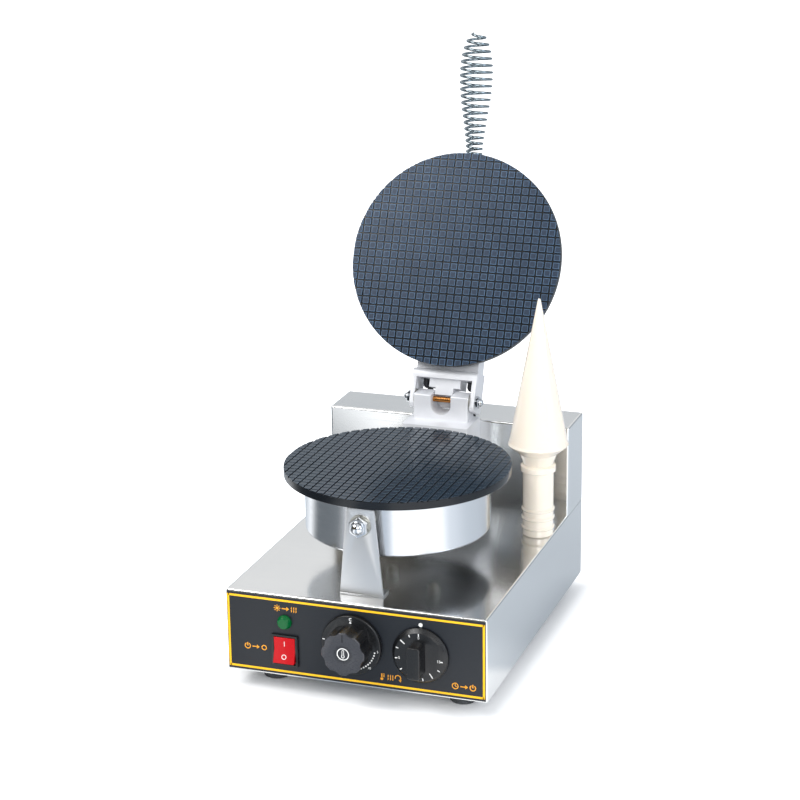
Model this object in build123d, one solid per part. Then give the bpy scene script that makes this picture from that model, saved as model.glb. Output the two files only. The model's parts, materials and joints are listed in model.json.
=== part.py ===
"""Electric krumkake iron: a countertop iron with a hinged lid, a control box and a cone former.

Frame: millimetres, +Z up, +X to the right, -Y to the front (the side with the knobs).
The origin is on the table, under the middle of the control box.
The lid is modelled shut, where its pieces line up with the lower ones, and then swung open.
"""
import math
import os

from build123d import *

# ---- Driving dimensions -------------------------------------------------------------------

# Control box
BASE_W = 246.0            # width of the control box
BASE_D = 322.0            # depth of the control box
BASE_H = 78.0             # height of the control box without its feet
SHEET = 1.5               # stainless sheet of the box, the rear housing and their covers
BASE_EDGE_R = 2.2         # outer radius of the folded edges
LIP_W = 14.0              # lips folded inward to hold the covers
COVER_GAP = 0.3           # play of a cover between its walls
COVER_SCREW_SHARE = 0.62  # outer cover screws from the middle, as a share of the half depth
VENT_W = 3.0              # vent slots of both covers
VENT_PITCH = 6.0
VENT_L = 61.5             # slots of the bottom cover
VENTS = 9
REAR_VENT_H = 22.5        # slots of the rear cover
REAR_VENTS = 11

# Feet
FOOT_H = 17.0
FOOT_R = 12.5
FOOT_INSET_X = 33.0       # feet from the side faces
FOOT_INSET_Y = 36.0       # feet from the front and rear faces
FOOT_RECESS_R = 4.6
FOOT_RECESS_H = 12.0
FOOT_ROUND = 1.6

# Rear housing
HOUSING_D = 53.0
HOUSING_H = 90.0
WIRE_HOLE_W = 80.0        # opening between the box and the housing
WIRE_HOLE_D = 26.0

# Baking plates and their drums. The plates fill the depth left in front of the hinge post
PLATE_T = 8.0
PLATE_SETBACK = 16.0      # rim of the plates behind the front face of the box
PLATE_TO_POST = 2.0       # rim of the plates to the hinge post
PLATE_OVERHANG = 19.0     # rim of a plate past its drum
PLATE_GAP = 1.0           # room for the batter between the shut plates
PLATE_EDGE = 0.8          # bevel of the rims
DRUM_WALL = 1.2
DRUM_BEND = 2.4           # outer bend between the wall and the bottom
DRUM_CUT = 20.0           # depth of the bores through the wall, which is curved
LOWER_DRUM_H = 51.5
UPPER_DRUM_H = 45.0

# Heating stack behind each plate
ELEMENT_INSET = 28.0      # middle of the ring heater from the outside of the drum
ELEMENT_R = 4.2
ELEMENT_GAP_DEG = 24.0    # open part of the ring, between its two ends
ELEMENT_TAIL = 14.0       # straight cold ends
CLAMP_INSET = 14.0
CLAMP_T = 3.0
WOOL_INSET = 18.0         # insulating disc from the outside of the drum
WOOL_T = 20.0
STUD_INSET = 52.0
STUD_R = 3.0
STUD_COUNT = 3
STUD_NUT_FLATS = 10.0
STUD_NUT_H = 5.0
STUD_OUT = 7.5            # stud past the bottom of the drum

# Hinge
HINGE_TO_HOUSING = 12.5   # hinge axis in front of the housing
HINGE_OVER_FACE = 20.0    # hinge axis above the lower baking face
HINGE_OVER_POST = 18.5    # hinge axis above the wide block of the post
LID_SWING = 114.2         # degrees from shut to fully open
PIN_R = 2.8
RUNNING_FIT = 0.05        # radial play of a turning fit
BUSH_WALL = 1.6
POST_W = 66.0             # wide lower block of the hinge post
POST_D = 41.0
POST_OVER_HOUSING = 3.0   # top of the block above the top of the housing
POST_H = 42.0
POST_BOLT_X = 21.0        # bolts from the middle
POST_BOLT_DROPS = (13.0, 34.0)   # bolts below the top of the post
CLEVIS_W = 54.6
CLEVIS_HALF_D = 9.5       # flat front and back of the lugs from the pin
CLEVIS_OVER_PIN = 6.5     # flat top of the lugs above the pin
CLEVIS_ROUND = 1.5
NOTCH_W = 20.4
NOTCH_DROP = 13.0         # lowest point of the round notch below the pin
TONGUE_W = 44.0
TONGUE_H = 20.0
TONGUE_DROP = 14.0        # top of the tongue below the top of the post
ARM_T = 4.5               # side arms of the lid frame
ARM_PLAY = 1.0            # arm to lug, taken up by a washer
WASHER_R = 8.0
WASHER_T = 0.8
PIN_NUT_FLATS = 11.0
FRAME_BACK = 10.0         # frame past the pin, away from the plates
FRAME_REACH = 28.8        # frame from the pin towards the plates
FRAME_BELOW = 5.8         # frame under the pin when shut
FRAME_ABOVE = 20.0        # frame over the pin when shut
FRAME_BAR = 9.0           # cross bar at the plate end of the frame
FRAME_BEND_R = 5.0        # rounded corners of the arms under the pin
WEB_W = 31.5              # middle web of the frame, under the cross bar
WEB_TO_PIN = 11.3         # end of the web from the pin, clear of the lugs
WEB_SETBACK = 4.0         # web behind the face of the frame
RIB_W = 18.0              # rib from the web down between the lugs
RIB_TO_PIN = 3.8          # end of the rib from the pin
FLANGE_W = 34.0           # flange behind the rib and past the pin
FLANGE_T = 6.0
FLANGE_FROM = 6.0         # flange begins before the pin
FLANGE_TO = 6.5           # and ends past it
BLOCK_W = 62.0            # block between the frame and the upper drum
NUT_PLAY = 0.3            # acorn nut to arm

# Fastener sizes
M4_R = 2.0
M6_R = 3.0
M10_R = 5.0
M4_HEAD_R = 4.0
M4_HEAD_H = 2.4
M4_CROSS_L = 4.4           # cross recess
M4_CROSS_W = 0.85
M4_SHORT = 6.0            # sheet screws
M4_LONG = 11.5            # foot and bracket screws
M4_FLATS = 7.0
M4_NUT_H = 3.2
M6_FLATS = 10.0
M6_HEAD_H = 4.0
M6_LENGTH = 19.0
M10_FLATS = 16.0
M10_HEAD_H = 6.4
M10_WASHER_R = 10.0
DOME_SHARE = 0.39         # dome radius of an acorn nut, as a share of its flats
THREAD_FIT = 0.05         # radial play of a screw in its hole
SEAT_GAP = 0.1            # between a curved seat and what sits on it

# Front support of the lower drum
BRACKET_T = 2.0
BRACKET_FOOT_W = 41.0
BRACKET_TOP_W = 25.6
BRACKET_UNDER_PLATE = 1.5 # top of the upright below the lower plate
BRACKET_ROUND = 1.5
BRACKET_INSET = 20.0      # upright from the front face of the box
BRACKET_FOOT_L = 13.0     # foot folded to the rear
BRACKET_BOLT_DROP = 17.0  # bolt below the lower plate
SPACER_R = 9.0
BRACKET_SCREW_X = 13.0

# Lead conduit between the box and the lower drum
CONDUIT_R = 8.0
CONDUIT_WALL = 1.2
CONDUIT_X = -42.0
CONDUIT_SETBACK = 132.0   # conduit from the front face of the box

# Front panel and its controls
PANEL_T = 0.8
PANEL_SIDE_INSET = 1.0
PANEL_TOP_INSET = 1.8
PANEL_BOTTOM_INSET = 1.2
LAMP_INSET = 57.0         # from the left side of the box
LAMP_Z = 69.5
LAMP_R = 6.75
LAMP_LENS_H = 5.0
LAMP_RIM_H = 1.5          # straight rim of the lens
LAMP_TOP_R = 5.06
LAMP_ROUND = 1.35
LAMP_NECK_R = 5.0
LAMP_BODY_L = 24.0
SWITCH_INSET = 56.8
SWITCH_Z = 42.2
BEZEL_W = 25.5
BEZEL_H = 30.0
BEZEL_T = 2.0
BEZEL_RIM_X = 2.4
BEZEL_RIM_Z = 1.7
SWITCH_DEPTH = 20.0
SWITCH_WALL = 0.9
SPADE_W = 4.8             # flat terminals behind the switch
SPADE_L = 8.0
SPADE_T = 0.8
ROCKER_SETBACK = 1.6      # pivot behind the face of the panel
ROCKER_OUT = 4.2          # its ends in front of the panel, when level
ROCKER_WAIST = 0.86       # share of its height that is left behind the panel
ROCKER_END_PLAY = 1.2     # end of the rocker to the well
ROCKER_TILT = 9.0         # degrees each way from level
ROCKER_PLAY = 0.35
ROCKER_PIVOT_R = 1.4
DIAL_GAP = 0.6            # skirts of both knobs off the panel
THERMO_X = -1.5
THERMO_Z = 57.2
THERMO_SKIRT_R = 28.0
THERMO_SKIRT_T = 4.0
THERMO_GRIP_R = 20.5
THERMO_FACE_R = 20.2
THERMO_GRIP_H = 21.0
THERMO_SCALLOPS = 8
THERMO_SCALLOP_R = 9.0
THERMO_SCALLOP_DEPTH = 2.2
THERMO_DISH_R = 11.0      # shallow dish in the face, sloping to a flat middle
THERMO_DISH_DEPTH = 1.2
THERMO_HUB_R = 7.2
TIMER_SHARE = 0.508       # timer from the middle, as a share of the half width
TIMER_Z = 55.0
TIMER_SKIRT_R = 26.0
TIMER_FACE_R = 22.5
TIMER_SKIRT_T = 5.5
TIMER_EDGE_T = 1.65       # straight edge of the skirt
TIMER_GRIP_W = 12.0
TIMER_GRIP_L = 30.0
TIMER_GRIP_H = 16.0
TIMER_GRIP_ROUND = 2.7
KNOB_ROUND = 1.2
SHAFT_R = 3.0
SHAFT_GRIP = 14.0         # shaft inside the knob
SHAFT_IN_BODY = 9.0
BUSHING_R = 5.0
THERMO_BODY = 40.0
THERMO_BODY_UP = 16.0     # body above its shaft
THERMO_BODY_D = 20.0
TIMER_BODY_R = 22.0
TIMER_BODY_D = 30.0

# Mains connection
GLAND_INSET = 53.0        # from the right side of the box
GLAND_Z = 44.0
GLAND_R = 9.0
GLAND_BORE_R = 4.2
GLAND_NECK_R = 7.5
GLAND_OUT = 14.0
GLAND_HEX_H = 5.6
GLAND_IN = 7.0            # thread of the gland behind the wall
GLAND_FLATS = 20.0
GLAND_NUT_H = 5.0
TERMINAL_L = 44.0
TERMINAL_D = 22.0
TERMINAL_H = 18.0
TERMINAL_INSET_X = 57.0   # from the right side of the box
TERMINAL_INSET_Y = 65.0   # from the rear of the box
TERMINAL_POLES = 4
TERMINAL_HOLE_R = 3.0

# Handle of the lid
HANDLE_OVER_PLATE = 20.1  # where its axis meets the drum, above the upper plate's back
HANDLE_DIP = 18.3         # degrees below level when shut
HANDLE_L = 142.0          # drum to the last turn of the coil
HANDLE_STUD_R = 3.0
HANDLE_BOSS_R = 8.4
HANDLE_BOSS_L = 9.0
HANDLE_NIPPLE_L = 14.0    # part of the boss that the first turns grip
COIL_WIRE = 2.6
COIL_FOOT_R = 8.3         # outer radius of the coil at the boss
COIL_BELLY_R = 16.3       # at its thickest
COIL_TIP_R = 5.0          # at its last turn
COIL_STRAIGHT = 0.1       # share of the coil's length that stays straight
COIL_BELLY_AT = 0.7       # share of the coil's length to its thickest turn
COIL_RISE = 1.7           # shape of the curve up to the thickest turn
COIL_FALL = 0.6           # shape of the curve down to the last turn
COIL_STEPS = 24           # profile points along the coil
HANDLE_NUT_FLATS = 10.0

# Heater leads beside the hinge
SLEEVE_R = 3.1
SLEEVE_X = 22.5
SLEEVE_LID_END = 14.0     # lid part ends this far from the hinge axis, towards the plates
SLEEVE_LIFT = 8.0         # housing part stands this far out of the housing
SLEEVE_INSIDE = 10.0      # hidden ends inside the drum and the housing
SLEEVE_BACK = 22.5        # its hole in the housing, behind the hinge axis

# Cone former
CONE_INSET_X = 15.5       # from the right side of the box
CONE_TO_HOUSING = 54.0    # in front of the housing
CONE_GRIP_R = 14.65
CONE_H = 231.5
CONE_BEAD_R = 15.8
CONE_BEAD_HEIGHTS = (8.4, 17.9, 26.4)
CONE_BEAD_HALF = 1.8
CONE_BEAD_CREST = 0.6     # half the flat top of a bead
CONE_ROUND = 1.0          # bevels of its corners
CONE_COLLAR_R = 16.6
CONE_COLLAR_Z = 66.9
CONE_COLLAR_HALF = 3.5
CONE_NECK_R = 13.9
CONE_FLARE_R = 18.0
CONE_FLARE_Z = 81.5
CONE_SKIRT_R = 28.7
CONE_SKIRT_Z = 90.6
CONE_SKIRT_LIP = 2.4
CONE_TIP_R = 1.5

# ---- Places that follow from them ---------------------------------------------------------

FRONT_Y = -BASE_D / 2
REAR_Y = BASE_D / 2
BASE_TOP = FOOT_H + BASE_H
SIDE_X = BASE_W / 2
HOUSING_Y = REAR_Y - HOUSING_D
HOUSING_TOP = BASE_TOP + HOUSING_H
POST_TOP_Z = HOUSING_TOP + POST_OVER_HOUSING
HINGE_Z = POST_TOP_Z + HINGE_OVER_POST
HINGE_Y = HOUSING_Y - HINGE_TO_HOUSING
HINGE_LINE = Axis((0, HINGE_Y, HINGE_Z), (1, 0, 0))
POST_FRONT_Y = HOUSING_Y - POST_D
POST_FLOOR_Z = POST_TOP_Z - POST_H
PLATE_R = (POST_FRONT_Y - PLATE_TO_POST - FRONT_Y - PLATE_SETBACK) / 2
PLATE_Y = FRONT_Y + PLATE_SETBACK + PLATE_R
DRUM_R = PLATE_R - PLATE_OVERHANG
LOWER_FACE_Z = HINGE_Z - HINGE_OVER_FACE
LOWER_BACK_Z = LOWER_FACE_Z - PLATE_T
UPPER_FACE_Z = LOWER_FACE_Z + PLATE_GAP
UPPER_BACK_Z = UPPER_FACE_Z + PLATE_T
LOWER_DRUM_Z = LOWER_BACK_Z - LOWER_DRUM_H
UPPER_DRUM_Z = UPPER_BACK_Z + UPPER_DRUM_H
DRUM_FRONT_Y = PLATE_Y - DRUM_R
DRUM_REAR_Y = PLATE_Y + DRUM_R
ELEMENT_RING_R = DRUM_R - ELEMENT_INSET
STUD_RING_R = DRUM_R - STUD_INSET
CLAMP_R = DRUM_R - CLAMP_INSET
WOOL_R = DRUM_R - WOOL_INSET
CONDUIT_Y = FRONT_Y + CONDUIT_SETBACK
ARM_IN = CLEVIS_W / 2 + ARM_PLAY
ARM_OUT = ARM_IN + ARM_T
PANEL_Y = FRONT_Y - PANEL_T
BRACKET_Y = FRONT_Y + BRACKET_INSET
BRACKET_TOP_Z = LOWER_BACK_Z - BRACKET_UNDER_PLATE
BRACKET_BOLT_Z = LOWER_BACK_Z - BRACKET_BOLT_DROP
LAMP_X = LAMP_INSET - SIDE_X
SWITCH_X = SWITCH_INSET - SIDE_X
TIMER_X = TIMER_SHARE * SIDE_X
GLAND_X = SIDE_X - GLAND_INSET
TERMINAL_X = SIDE_X - TERMINAL_INSET_X
TERMINAL_Y = REAR_Y - TERMINAL_INSET_Y
CONE_X = SIDE_X - CONE_INSET_X
CONE_Y = HOUSING_Y - CONE_TO_HOUSING
HANDLE_Z = UPPER_BACK_Z + HANDLE_OVER_PLATE
WALL_IN_Y = FRONT_Y + SHEET
BODY_Y = WALL_IN_Y + SEAT_GAP
TONGUE_Z = POST_TOP_Z - TONGUE_DROP - TONGUE_H / 2
M6_HEAD_CORNER = M6_FLATS / math.sqrt(3)
BLOCK_Z = HINGE_Z + FRAME_ABOVE / 2

UP = (0, 0, 1)
DOWN = (0, 0, -1)
FRONT = (0, -1, 0)
BACK = (0, 1, 0)
RIGHT = (1, 0, 0)
LEFT = (-1, 0, 0)


# ---- Shapes used by many pieces -----------------------------------------------------------

def block(x0, x1, y0, y1, z0, z1):
    """A block between two opposite corners."""
    size = Box(x1 - x0, y1 - y0, z1 - z0)
    return Pos((x0 + x1) / 2, (y0 + y1) / 2, (z0 + z1) / 2) * size


def rod(start, axis, length, radius):
    """A round bar from a point along an axis."""
    bar = Pos(0, 0, length / 2) * Cylinder(radius, length)
    return Plane(origin=start, z_dir=axis).location * bar


def tube(start, axis, length, radius, bore):
    """A round bar with a bore right through."""
    return rod(start, axis, length, radius) - rod(start, axis, length, bore)


def hex_bar(start, axis, length, flats):
    """A six-sided bar, sized across its flats."""
    face = RegularPolygon(radius=flats / 2, side_count=6, major_radius=False)
    return Plane(origin=start, z_dir=axis).location * extrude(face, amount=length)


def turned(points, start, axis, rounded=(), radius=0.0):
    """A turned solid: (radius, height) points, with some corners rounded."""
    face = make_face(Polyline(*[(r, 0, h) for r, h in points], close=True))
    sharp = []
    for index in rounded:
        r, h = points[index]
        sharp.append(face.vertices().sort_by_distance((r, 0, h))[0])
    if sharp:
        face = fillet(sharp, radius)
    return Plane(origin=start, z_dir=axis).location * revolve(face, axis=Axis.Z)


def along(start, axis, distance):
    """The point at a distance from a start along a unit axis."""
    return tuple(s + a * distance for s, a in zip(start, axis))


def hex_screw(seat, axis, length, radius, flats, head):
    """A screw whose hexagon head sits on a seat and whose shank runs along an axis."""
    back = tuple(-a for a in axis)
    return rod(seat, axis, length, radius) + hex_bar(seat, back, head, flats)


def pan_screw(seat, axis, length):
    """An M4 pan-head screw with a cross recess."""
    back = tuple(-a for a in axis)
    head = rod(seat, back, M4_HEAD_H, M4_HEAD_R)
    top = along(seat, back, M4_HEAD_H)
    frame = Plane(origin=top, z_dir=axis).location
    slot = Box(M4_CROSS_L, M4_CROSS_W, M4_HEAD_H)
    recess = frame * (slot + Rot(0, 0, 90) * slot)
    return rod(seat, axis, length, M4_R) + head - recess


def nut(seat, axis, height, flats, radius):
    """A plain hexagon nut standing on a seat."""
    return hex_bar(seat, axis, height, flats) - rod(seat, axis, height, radius + THREAD_FIT)


def acorn_nut(seat, axis, flats, height, radius):
    """A hexagon nut closed by a dome, with a blind thread."""
    dome_r = flats * DOME_SHARE
    rise = Pos(0, 0, height) * (Sphere(dome_r) & Pos(0, 0, dome_r / 2) * Cylinder(dome_r, dome_r))
    neck = Pos(0, 0, height / 2) * Cylinder(dome_r, height)
    dome = Plane(origin=seat, z_dir=axis).location * (rise + neck)
    return hex_bar(seat, axis, height, flats) + dome - rod(seat, axis, height, radius + THREAD_FIT)


def ring_points(count, radius, turn=0.0):
    """Evenly spaced points on a circle about the plates' middle line."""
    angles = [math.radians(turn + 360 * k / count) for k in range(count)]
    return [(radius * math.cos(a), radius * math.sin(a)) for a in angles]


def evenly(count, pitch):
    """Evenly spaced places about 0 along a line."""
    return [(k - (count - 1) / 2) * pitch for k in range(count)]


def corners(x, y_front, y_rear):
    """The four corners of a rectangle that is even about X = 0."""
    return [(side * x, y) for side in (-1, 1) for y in (y_front, y_rear)]


def below_plate(piece):
    """Puts a piece built up from Z = 0 under the lower plate, hanging down."""
    return Pos(0, PLATE_Y, LOWER_BACK_Z) * Rot(180, 0, 0) * piece


def above_plate(piece):
    """Puts a piece built up from Z = 0 on the back of the shut upper plate."""
    return Pos(0, PLATE_Y, UPPER_BACK_Z) * piece


def opened(piece):
    """Swings a piece of the shut lid to where it stands open."""
    return piece.rotate(HINGE_LINE, -LID_SWING)


def save(name, *solids):
    """Writes one node, as one solid or as a group of separate solids."""
    shape = solids[0] if len(solids) == 1 else Compound(children=[s.solid() for s in solids])
    export_step(shape, os.path.join("parts", name + ".step"))


# ---- Control box --------------------------------------------------------------------------

FOOT_PLACES = corners(SIDE_X - FOOT_INSET_X, FRONT_Y + FOOT_INSET_Y, REAR_Y - FOOT_INSET_Y)
COVER_SCREW_X = SIDE_X - SHEET - LIP_W / 2
COVER_SCREW_YS = (FRONT_Y * COVER_SCREW_SHARE, 0.0, REAR_Y * COVER_SCREW_SHARE)
HOUSING_SCREW_PLACES = corners(COVER_SCREW_X, HOUSING_Y + HOUSING_D / 4, REAR_Y - HOUSING_D / 4)
BRACKET_SCREW_Y = BRACKET_Y + BRACKET_T + BRACKET_FOOT_L / 2
REAR_COVER_SCREW_ZS = (BASE_TOP + HOUSING_H / 4, HOUSING_TOP - HOUSING_H / 4)


def base_shell():
    """Folded box, open below, with side lips for the bottom cover."""
    shell = block(-SIDE_X, SIDE_X, FRONT_Y, REAR_Y, FOOT_H, BASE_TOP)
    shell = fillet(shell.edges().filter_by(Axis.Z), BASE_EDGE_R)
    shell = fillet(shell.faces().sort_by(Axis.Z)[-1].edges(), BASE_EDGE_R)
    inside_x = SIDE_X - SHEET
    shell -= block(-inside_x, inside_x, WALL_IN_Y, REAR_Y - SHEET, FOOT_H, BASE_TOP - SHEET)
    lip_z = FOOT_H + SHEET
    for side in (-1, 1):
        edges = sorted((side * inside_x, side * (inside_x - LIP_W)))
        shell += block(*edges, WALL_IN_Y, REAR_Y - SHEET, lip_z, lip_z + SHEET)
        for y in COVER_SCREW_YS:
            shell -= rod((side * COVER_SCREW_X, y, lip_z), UP, SHEET, M4_R + THREAD_FIT)
    for x, z, radius in ((LAMP_X, LAMP_Z, LAMP_NECK_R), (THERMO_X, THERMO_Z, BUSHING_R),
                         (TIMER_X, TIMER_Z, BUSHING_R)):
        shell -= rod((x, FRONT_Y, z), BACK, SHEET, radius + THREAD_FIT)
    shell -= switch_cut(FRONT_Y, WALL_IN_Y)
    shell -= rod((GLAND_X, REAR_Y, GLAND_Z), FRONT, SHEET, GLAND_NECK_R + THREAD_FIT)
    under = BASE_TOP - SHEET
    shell -= rod((CONDUIT_X, CONDUIT_Y, under), UP, SHEET, CONDUIT_R + SEAT_GAP)
    middle = HOUSING_Y + HOUSING_D / 2
    half_w = WIRE_HOLE_W / 2
    half_d = WIRE_HOLE_D / 2
    shell -= block(-half_w, half_w, middle - half_d, middle + half_d, under, BASE_TOP)
    for x, y in HOUSING_SCREW_PLACES:
        shell -= rod((x, y, under), UP, SHEET, M4_R + THREAD_FIT)
    for side in (-1, 1):
        shell -= rod((side * BRACKET_SCREW_X, BRACKET_SCREW_Y, under), UP, SHEET, M4_R + THREAD_FIT)
    return shell


def bottom_cover():
    """Flat cover with vent slots under the box."""
    half_x = SIDE_X - SHEET - COVER_GAP
    y0 = WALL_IN_Y + COVER_GAP
    y1 = REAR_Y - SHEET - COVER_GAP
    cover = block(-half_x, half_x, y0, y1, FOOT_H, FOOT_H + SHEET)
    for side in (-1, 1):
        for y in COVER_SCREW_YS:
            cover -= rod((side * COVER_SCREW_X, y, FOOT_H), UP, SHEET, M4_R + THREAD_FIT)
    for x, y in FOOT_PLACES:
        cover -= rod((x, y, FOOT_H), UP, SHEET, M4_R + THREAD_FIT)
    half_l = VENT_L / 2
    for y in evenly(VENTS, VENT_PITCH):
        cover -= block(-half_l, half_l, y - VENT_W / 2, y + VENT_W / 2, FOOT_H, FOOT_H + SHEET)
    return cover


def rubber_foot(x, y):
    """Round foot with a recess for its screw."""
    foot = rod((x, y, 0), UP, FOOT_H, FOOT_R)
    foot = fillet(foot.edges().group_by(Axis.Z)[0], FOOT_ROUND)
    foot -= rod((x, y, 0), UP, FOOT_RECESS_H, FOOT_RECESS_R)
    return foot - rod((x, y, 0), UP, FOOT_H, M4_R + THREAD_FIT)


def control_box():
    save("base_shell", base_shell())
    save("bottom_cover", bottom_cover())
    save("rubber_feet", *[rubber_foot(x, y) for x, y in FOOT_PLACES])


# ---- Rear housing -------------------------------------------------------------------------

POST_BOLT_PLACES = [(side * POST_BOLT_X, POST_TOP_Z - drop) for side in (-1, 1)
                    for drop in POST_BOLT_DROPS]


def rear_housing():
    """Upright folded housing behind the plates, open below and behind."""
    shell = block(-SIDE_X, SIDE_X, HOUSING_Y, REAR_Y, BASE_TOP, HOUSING_TOP)
    shell = fillet(shell.edges().filter_by(Axis.Z), BASE_EDGE_R)
    shell = fillet(shell.faces().sort_by(Axis.Z)[-1].edges(), BASE_EDGE_R)
    inside_x = SIDE_X - SHEET
    under = HOUSING_TOP - SHEET
    shell -= block(-inside_x, inside_x, HOUSING_Y + SHEET, REAR_Y, BASE_TOP, under)
    lip_y = REAR_Y - SHEET
    for side in (-1, 1):
        edges = sorted((side * inside_x, side * (inside_x - LIP_W)))
        shell += block(*edges, HOUSING_Y + SHEET, lip_y - SHEET, BASE_TOP, BASE_TOP + SHEET)
        shell += block(*edges, lip_y - SHEET, lip_y, BASE_TOP, under)
        for z in REAR_COVER_SCREW_ZS:
            shell -= rod((side * COVER_SCREW_X, lip_y, z), FRONT, SHEET, M4_R + THREAD_FIT)
    for x, y in HOUSING_SCREW_PLACES:
        shell -= rod((x, y, BASE_TOP), UP, SHEET, M4_R + THREAD_FIT)
    for x, z in POST_BOLT_PLACES:
        shell -= rod((x, HOUSING_Y, z), BACK, SHEET, M6_R + THREAD_FIT)
    for side in (-1, 1):
        shell -= rod(sleeve_foot(side), DOWN, SHEET, SLEEVE_R + SEAT_GAP)
    return shell


def rear_cover():
    """Cover plate that closes the back of the rear housing."""
    half_x = SIDE_X - SHEET - COVER_GAP
    z1 = HOUSING_TOP - SHEET - COVER_GAP
    cover = block(-half_x, half_x, REAR_Y - SHEET, REAR_Y, BASE_TOP + COVER_GAP, z1)
    for side in (-1, 1):
        for z in REAR_COVER_SCREW_ZS:
            cover -= rod((side * COVER_SCREW_X, REAR_Y, z), FRONT, SHEET, M4_R + THREAD_FIT)
    slot_z = BASE_TOP + HOUSING_H / 2
    half_h = REAR_VENT_H / 2
    for x in evenly(REAR_VENTS, VENT_PITCH):
        cover -= block(x - VENT_W / 2, x + VENT_W / 2, REAR_Y - SHEET, REAR_Y,
                       slot_z - half_h, slot_z + half_h)
    return cover


def housing():
    save("rear_housing", rear_housing())
    save("rear_cover", rear_cover())


def box_fasteners():
    """The M4 screws and nuts of the box, the housing and the bracket."""
    under = BASE_TOP - SHEET
    short = [pan_screw((side * COVER_SCREW_X, y, FOOT_H), UP, M4_SHORT)
             for side in (-1, 1) for y in COVER_SCREW_YS]
    short += [pan_screw((side * COVER_SCREW_X, REAR_Y, z), FRONT, M4_SHORT)
              for side in (-1, 1) for z in REAR_COVER_SCREW_ZS]
    short += [pan_screw((x, y, under), UP, M4_SHORT) for x, y in HOUSING_SCREW_PLACES]
    save("sheet_screws", *short)
    bracket_places = [(side * BRACKET_SCREW_X, BRACKET_SCREW_Y) for side in (-1, 1)]
    long = [pan_screw((x, y, FOOT_RECESS_H), UP, M4_LONG) for x, y in FOOT_PLACES]
    long += [pan_screw((x, y, BASE_TOP + BRACKET_T), DOWN, M4_LONG) for x, y in bracket_places]
    save("foot_and_bracket_screws", *long)
    nuts = [nut((x, y, FOOT_H + SHEET), UP, M4_NUT_H, M4_FLATS, M4_R) for x, y in FOOT_PLACES]
    nuts += [nut((x, y, under), DOWN, M4_NUT_H, M4_FLATS, M4_R) for x, y in bracket_places]
    save("foot_and_bracket_nuts", *nuts)


# ---- Plates, drums and heaters ------------------------------------------------------------

def plate(face_z, back_z):
    """Cast baking plate. Its waffle grid is shallower than a millimetre of this disc."""
    low, high = sorted((face_z, back_z))
    disc = rod((0, PLATE_Y, low), UP, high - low, PLATE_R)
    return chamfer(disc.edges(), PLATE_EDGE)


def drum(height):
    """Open cup of polished sheet, built from its rim at Z = 0."""
    cup = Pos(0, 0, height / 2) * Cylinder(DRUM_R, height)
    cup = fillet(cup.edges().group_by(Axis.Z)[-1], DRUM_BEND)
    depth = height - DRUM_WALL
    cup -= Pos(0, 0, depth / 2) * Cylinder(DRUM_R - DRUM_WALL, depth)
    for x, y in ring_points(STUD_COUNT, STUD_RING_R):
        cup -= rod((x, y, depth), UP, DRUM_WALL, STUD_R + THREAD_FIT)
    return cup


def heating_element():
    """Tubular ring heater with two cold ends turned away from the plate."""
    sweep = 360 - ELEMENT_GAP_DEG
    section = Pos(ELEMENT_RING_R, 0, 0) * Rot(90, 0, 0) * Circle(ELEMENT_R)
    ring = revolve(section, axis=Axis.Z, revolution_arc=sweep)
    ring = Rot(0, 0, -sweep / 2) * ring
    for turn in (sweep / 2, -sweep / 2):
        a = math.radians(turn)
        end = (ELEMENT_RING_R * math.cos(a), ELEMENT_RING_R * math.sin(a), 0)
        ring += Pos(*end) * Sphere(ELEMENT_R)
        ring += rod(end, UP, ELEMENT_TAIL, ELEMENT_R)
    return Pos(0, 0, ELEMENT_R + SEAT_GAP) * ring


def tail_holes():
    """Two clearance bores for the cold ends of the element."""
    half = math.radians(180 - ELEMENT_GAP_DEG / 2)
    reach = ELEMENT_TAIL * 2 + WOOL_T
    x = ELEMENT_RING_R * math.cos(half)
    y = ELEMENT_RING_R * math.sin(half)
    holes = rod((x, y, 0), UP, reach, ELEMENT_R + SEAT_GAP)
    return holes + rod((x, -y, 0), UP, reach, ELEMENT_R + SEAT_GAP)


CLAMP_Z = 2 * ELEMENT_R + 2 * SEAT_GAP
WOOL_Z = CLAMP_Z + CLAMP_T


def clamp_disc():
    """Steel disc that presses the element against the plate."""
    disc = Pos(0, 0, CLAMP_Z + CLAMP_T / 2) * Cylinder(CLAMP_R, CLAMP_T)
    for x, y in ring_points(STUD_COUNT, STUD_RING_R):
        disc -= rod((x, y, CLAMP_Z), UP, CLAMP_T, STUD_R + THREAD_FIT)
    return disc - tail_holes()


def wool_disc():
    """Ceramic-wool disc behind the clamp disc."""
    disc = Pos(0, 0, WOOL_Z + WOOL_T / 2) * Cylinder(WOOL_R, WOOL_T)
    for x, y in ring_points(STUD_COUNT, STUD_RING_R):
        disc -= rod((x, y, WOOL_Z), UP, WOOL_T, STUD_R + THREAD_FIT)
    return disc - tail_holes()


def studs(height):
    """Studs cast into the back of a plate, long enough for a nut outside the drum."""
    reach = height + STUD_OUT
    return [rod((x, y, 0), UP, reach, STUD_R) for x, y in ring_points(STUD_COUNT, STUD_RING_R)]


def stud_nuts(height):
    """Nuts that pull the drum against its plate."""
    return [nut((x, y, height), UP, STUD_NUT_H, STUD_NUT_FLATS, STUD_R)
            for x, y in ring_points(STUD_COUNT, STUD_RING_R)]


def stack(prefix, height, place, finish=lambda piece: piece):
    """Saves the pieces behind one plate. Those of the lid are swung open by the finish."""
    save(prefix + "_heating_element", finish(place(heating_element())))
    save(prefix + "_clamp_disc", finish(place(clamp_disc())))
    save(prefix + "_insulation", finish(place(wool_disc())))
    save(prefix + "_studs", *[finish(place(s)) for s in studs(height)])
    save(prefix + "_stud_nuts", *[finish(place(n)) for n in stud_nuts(height)])


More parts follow.
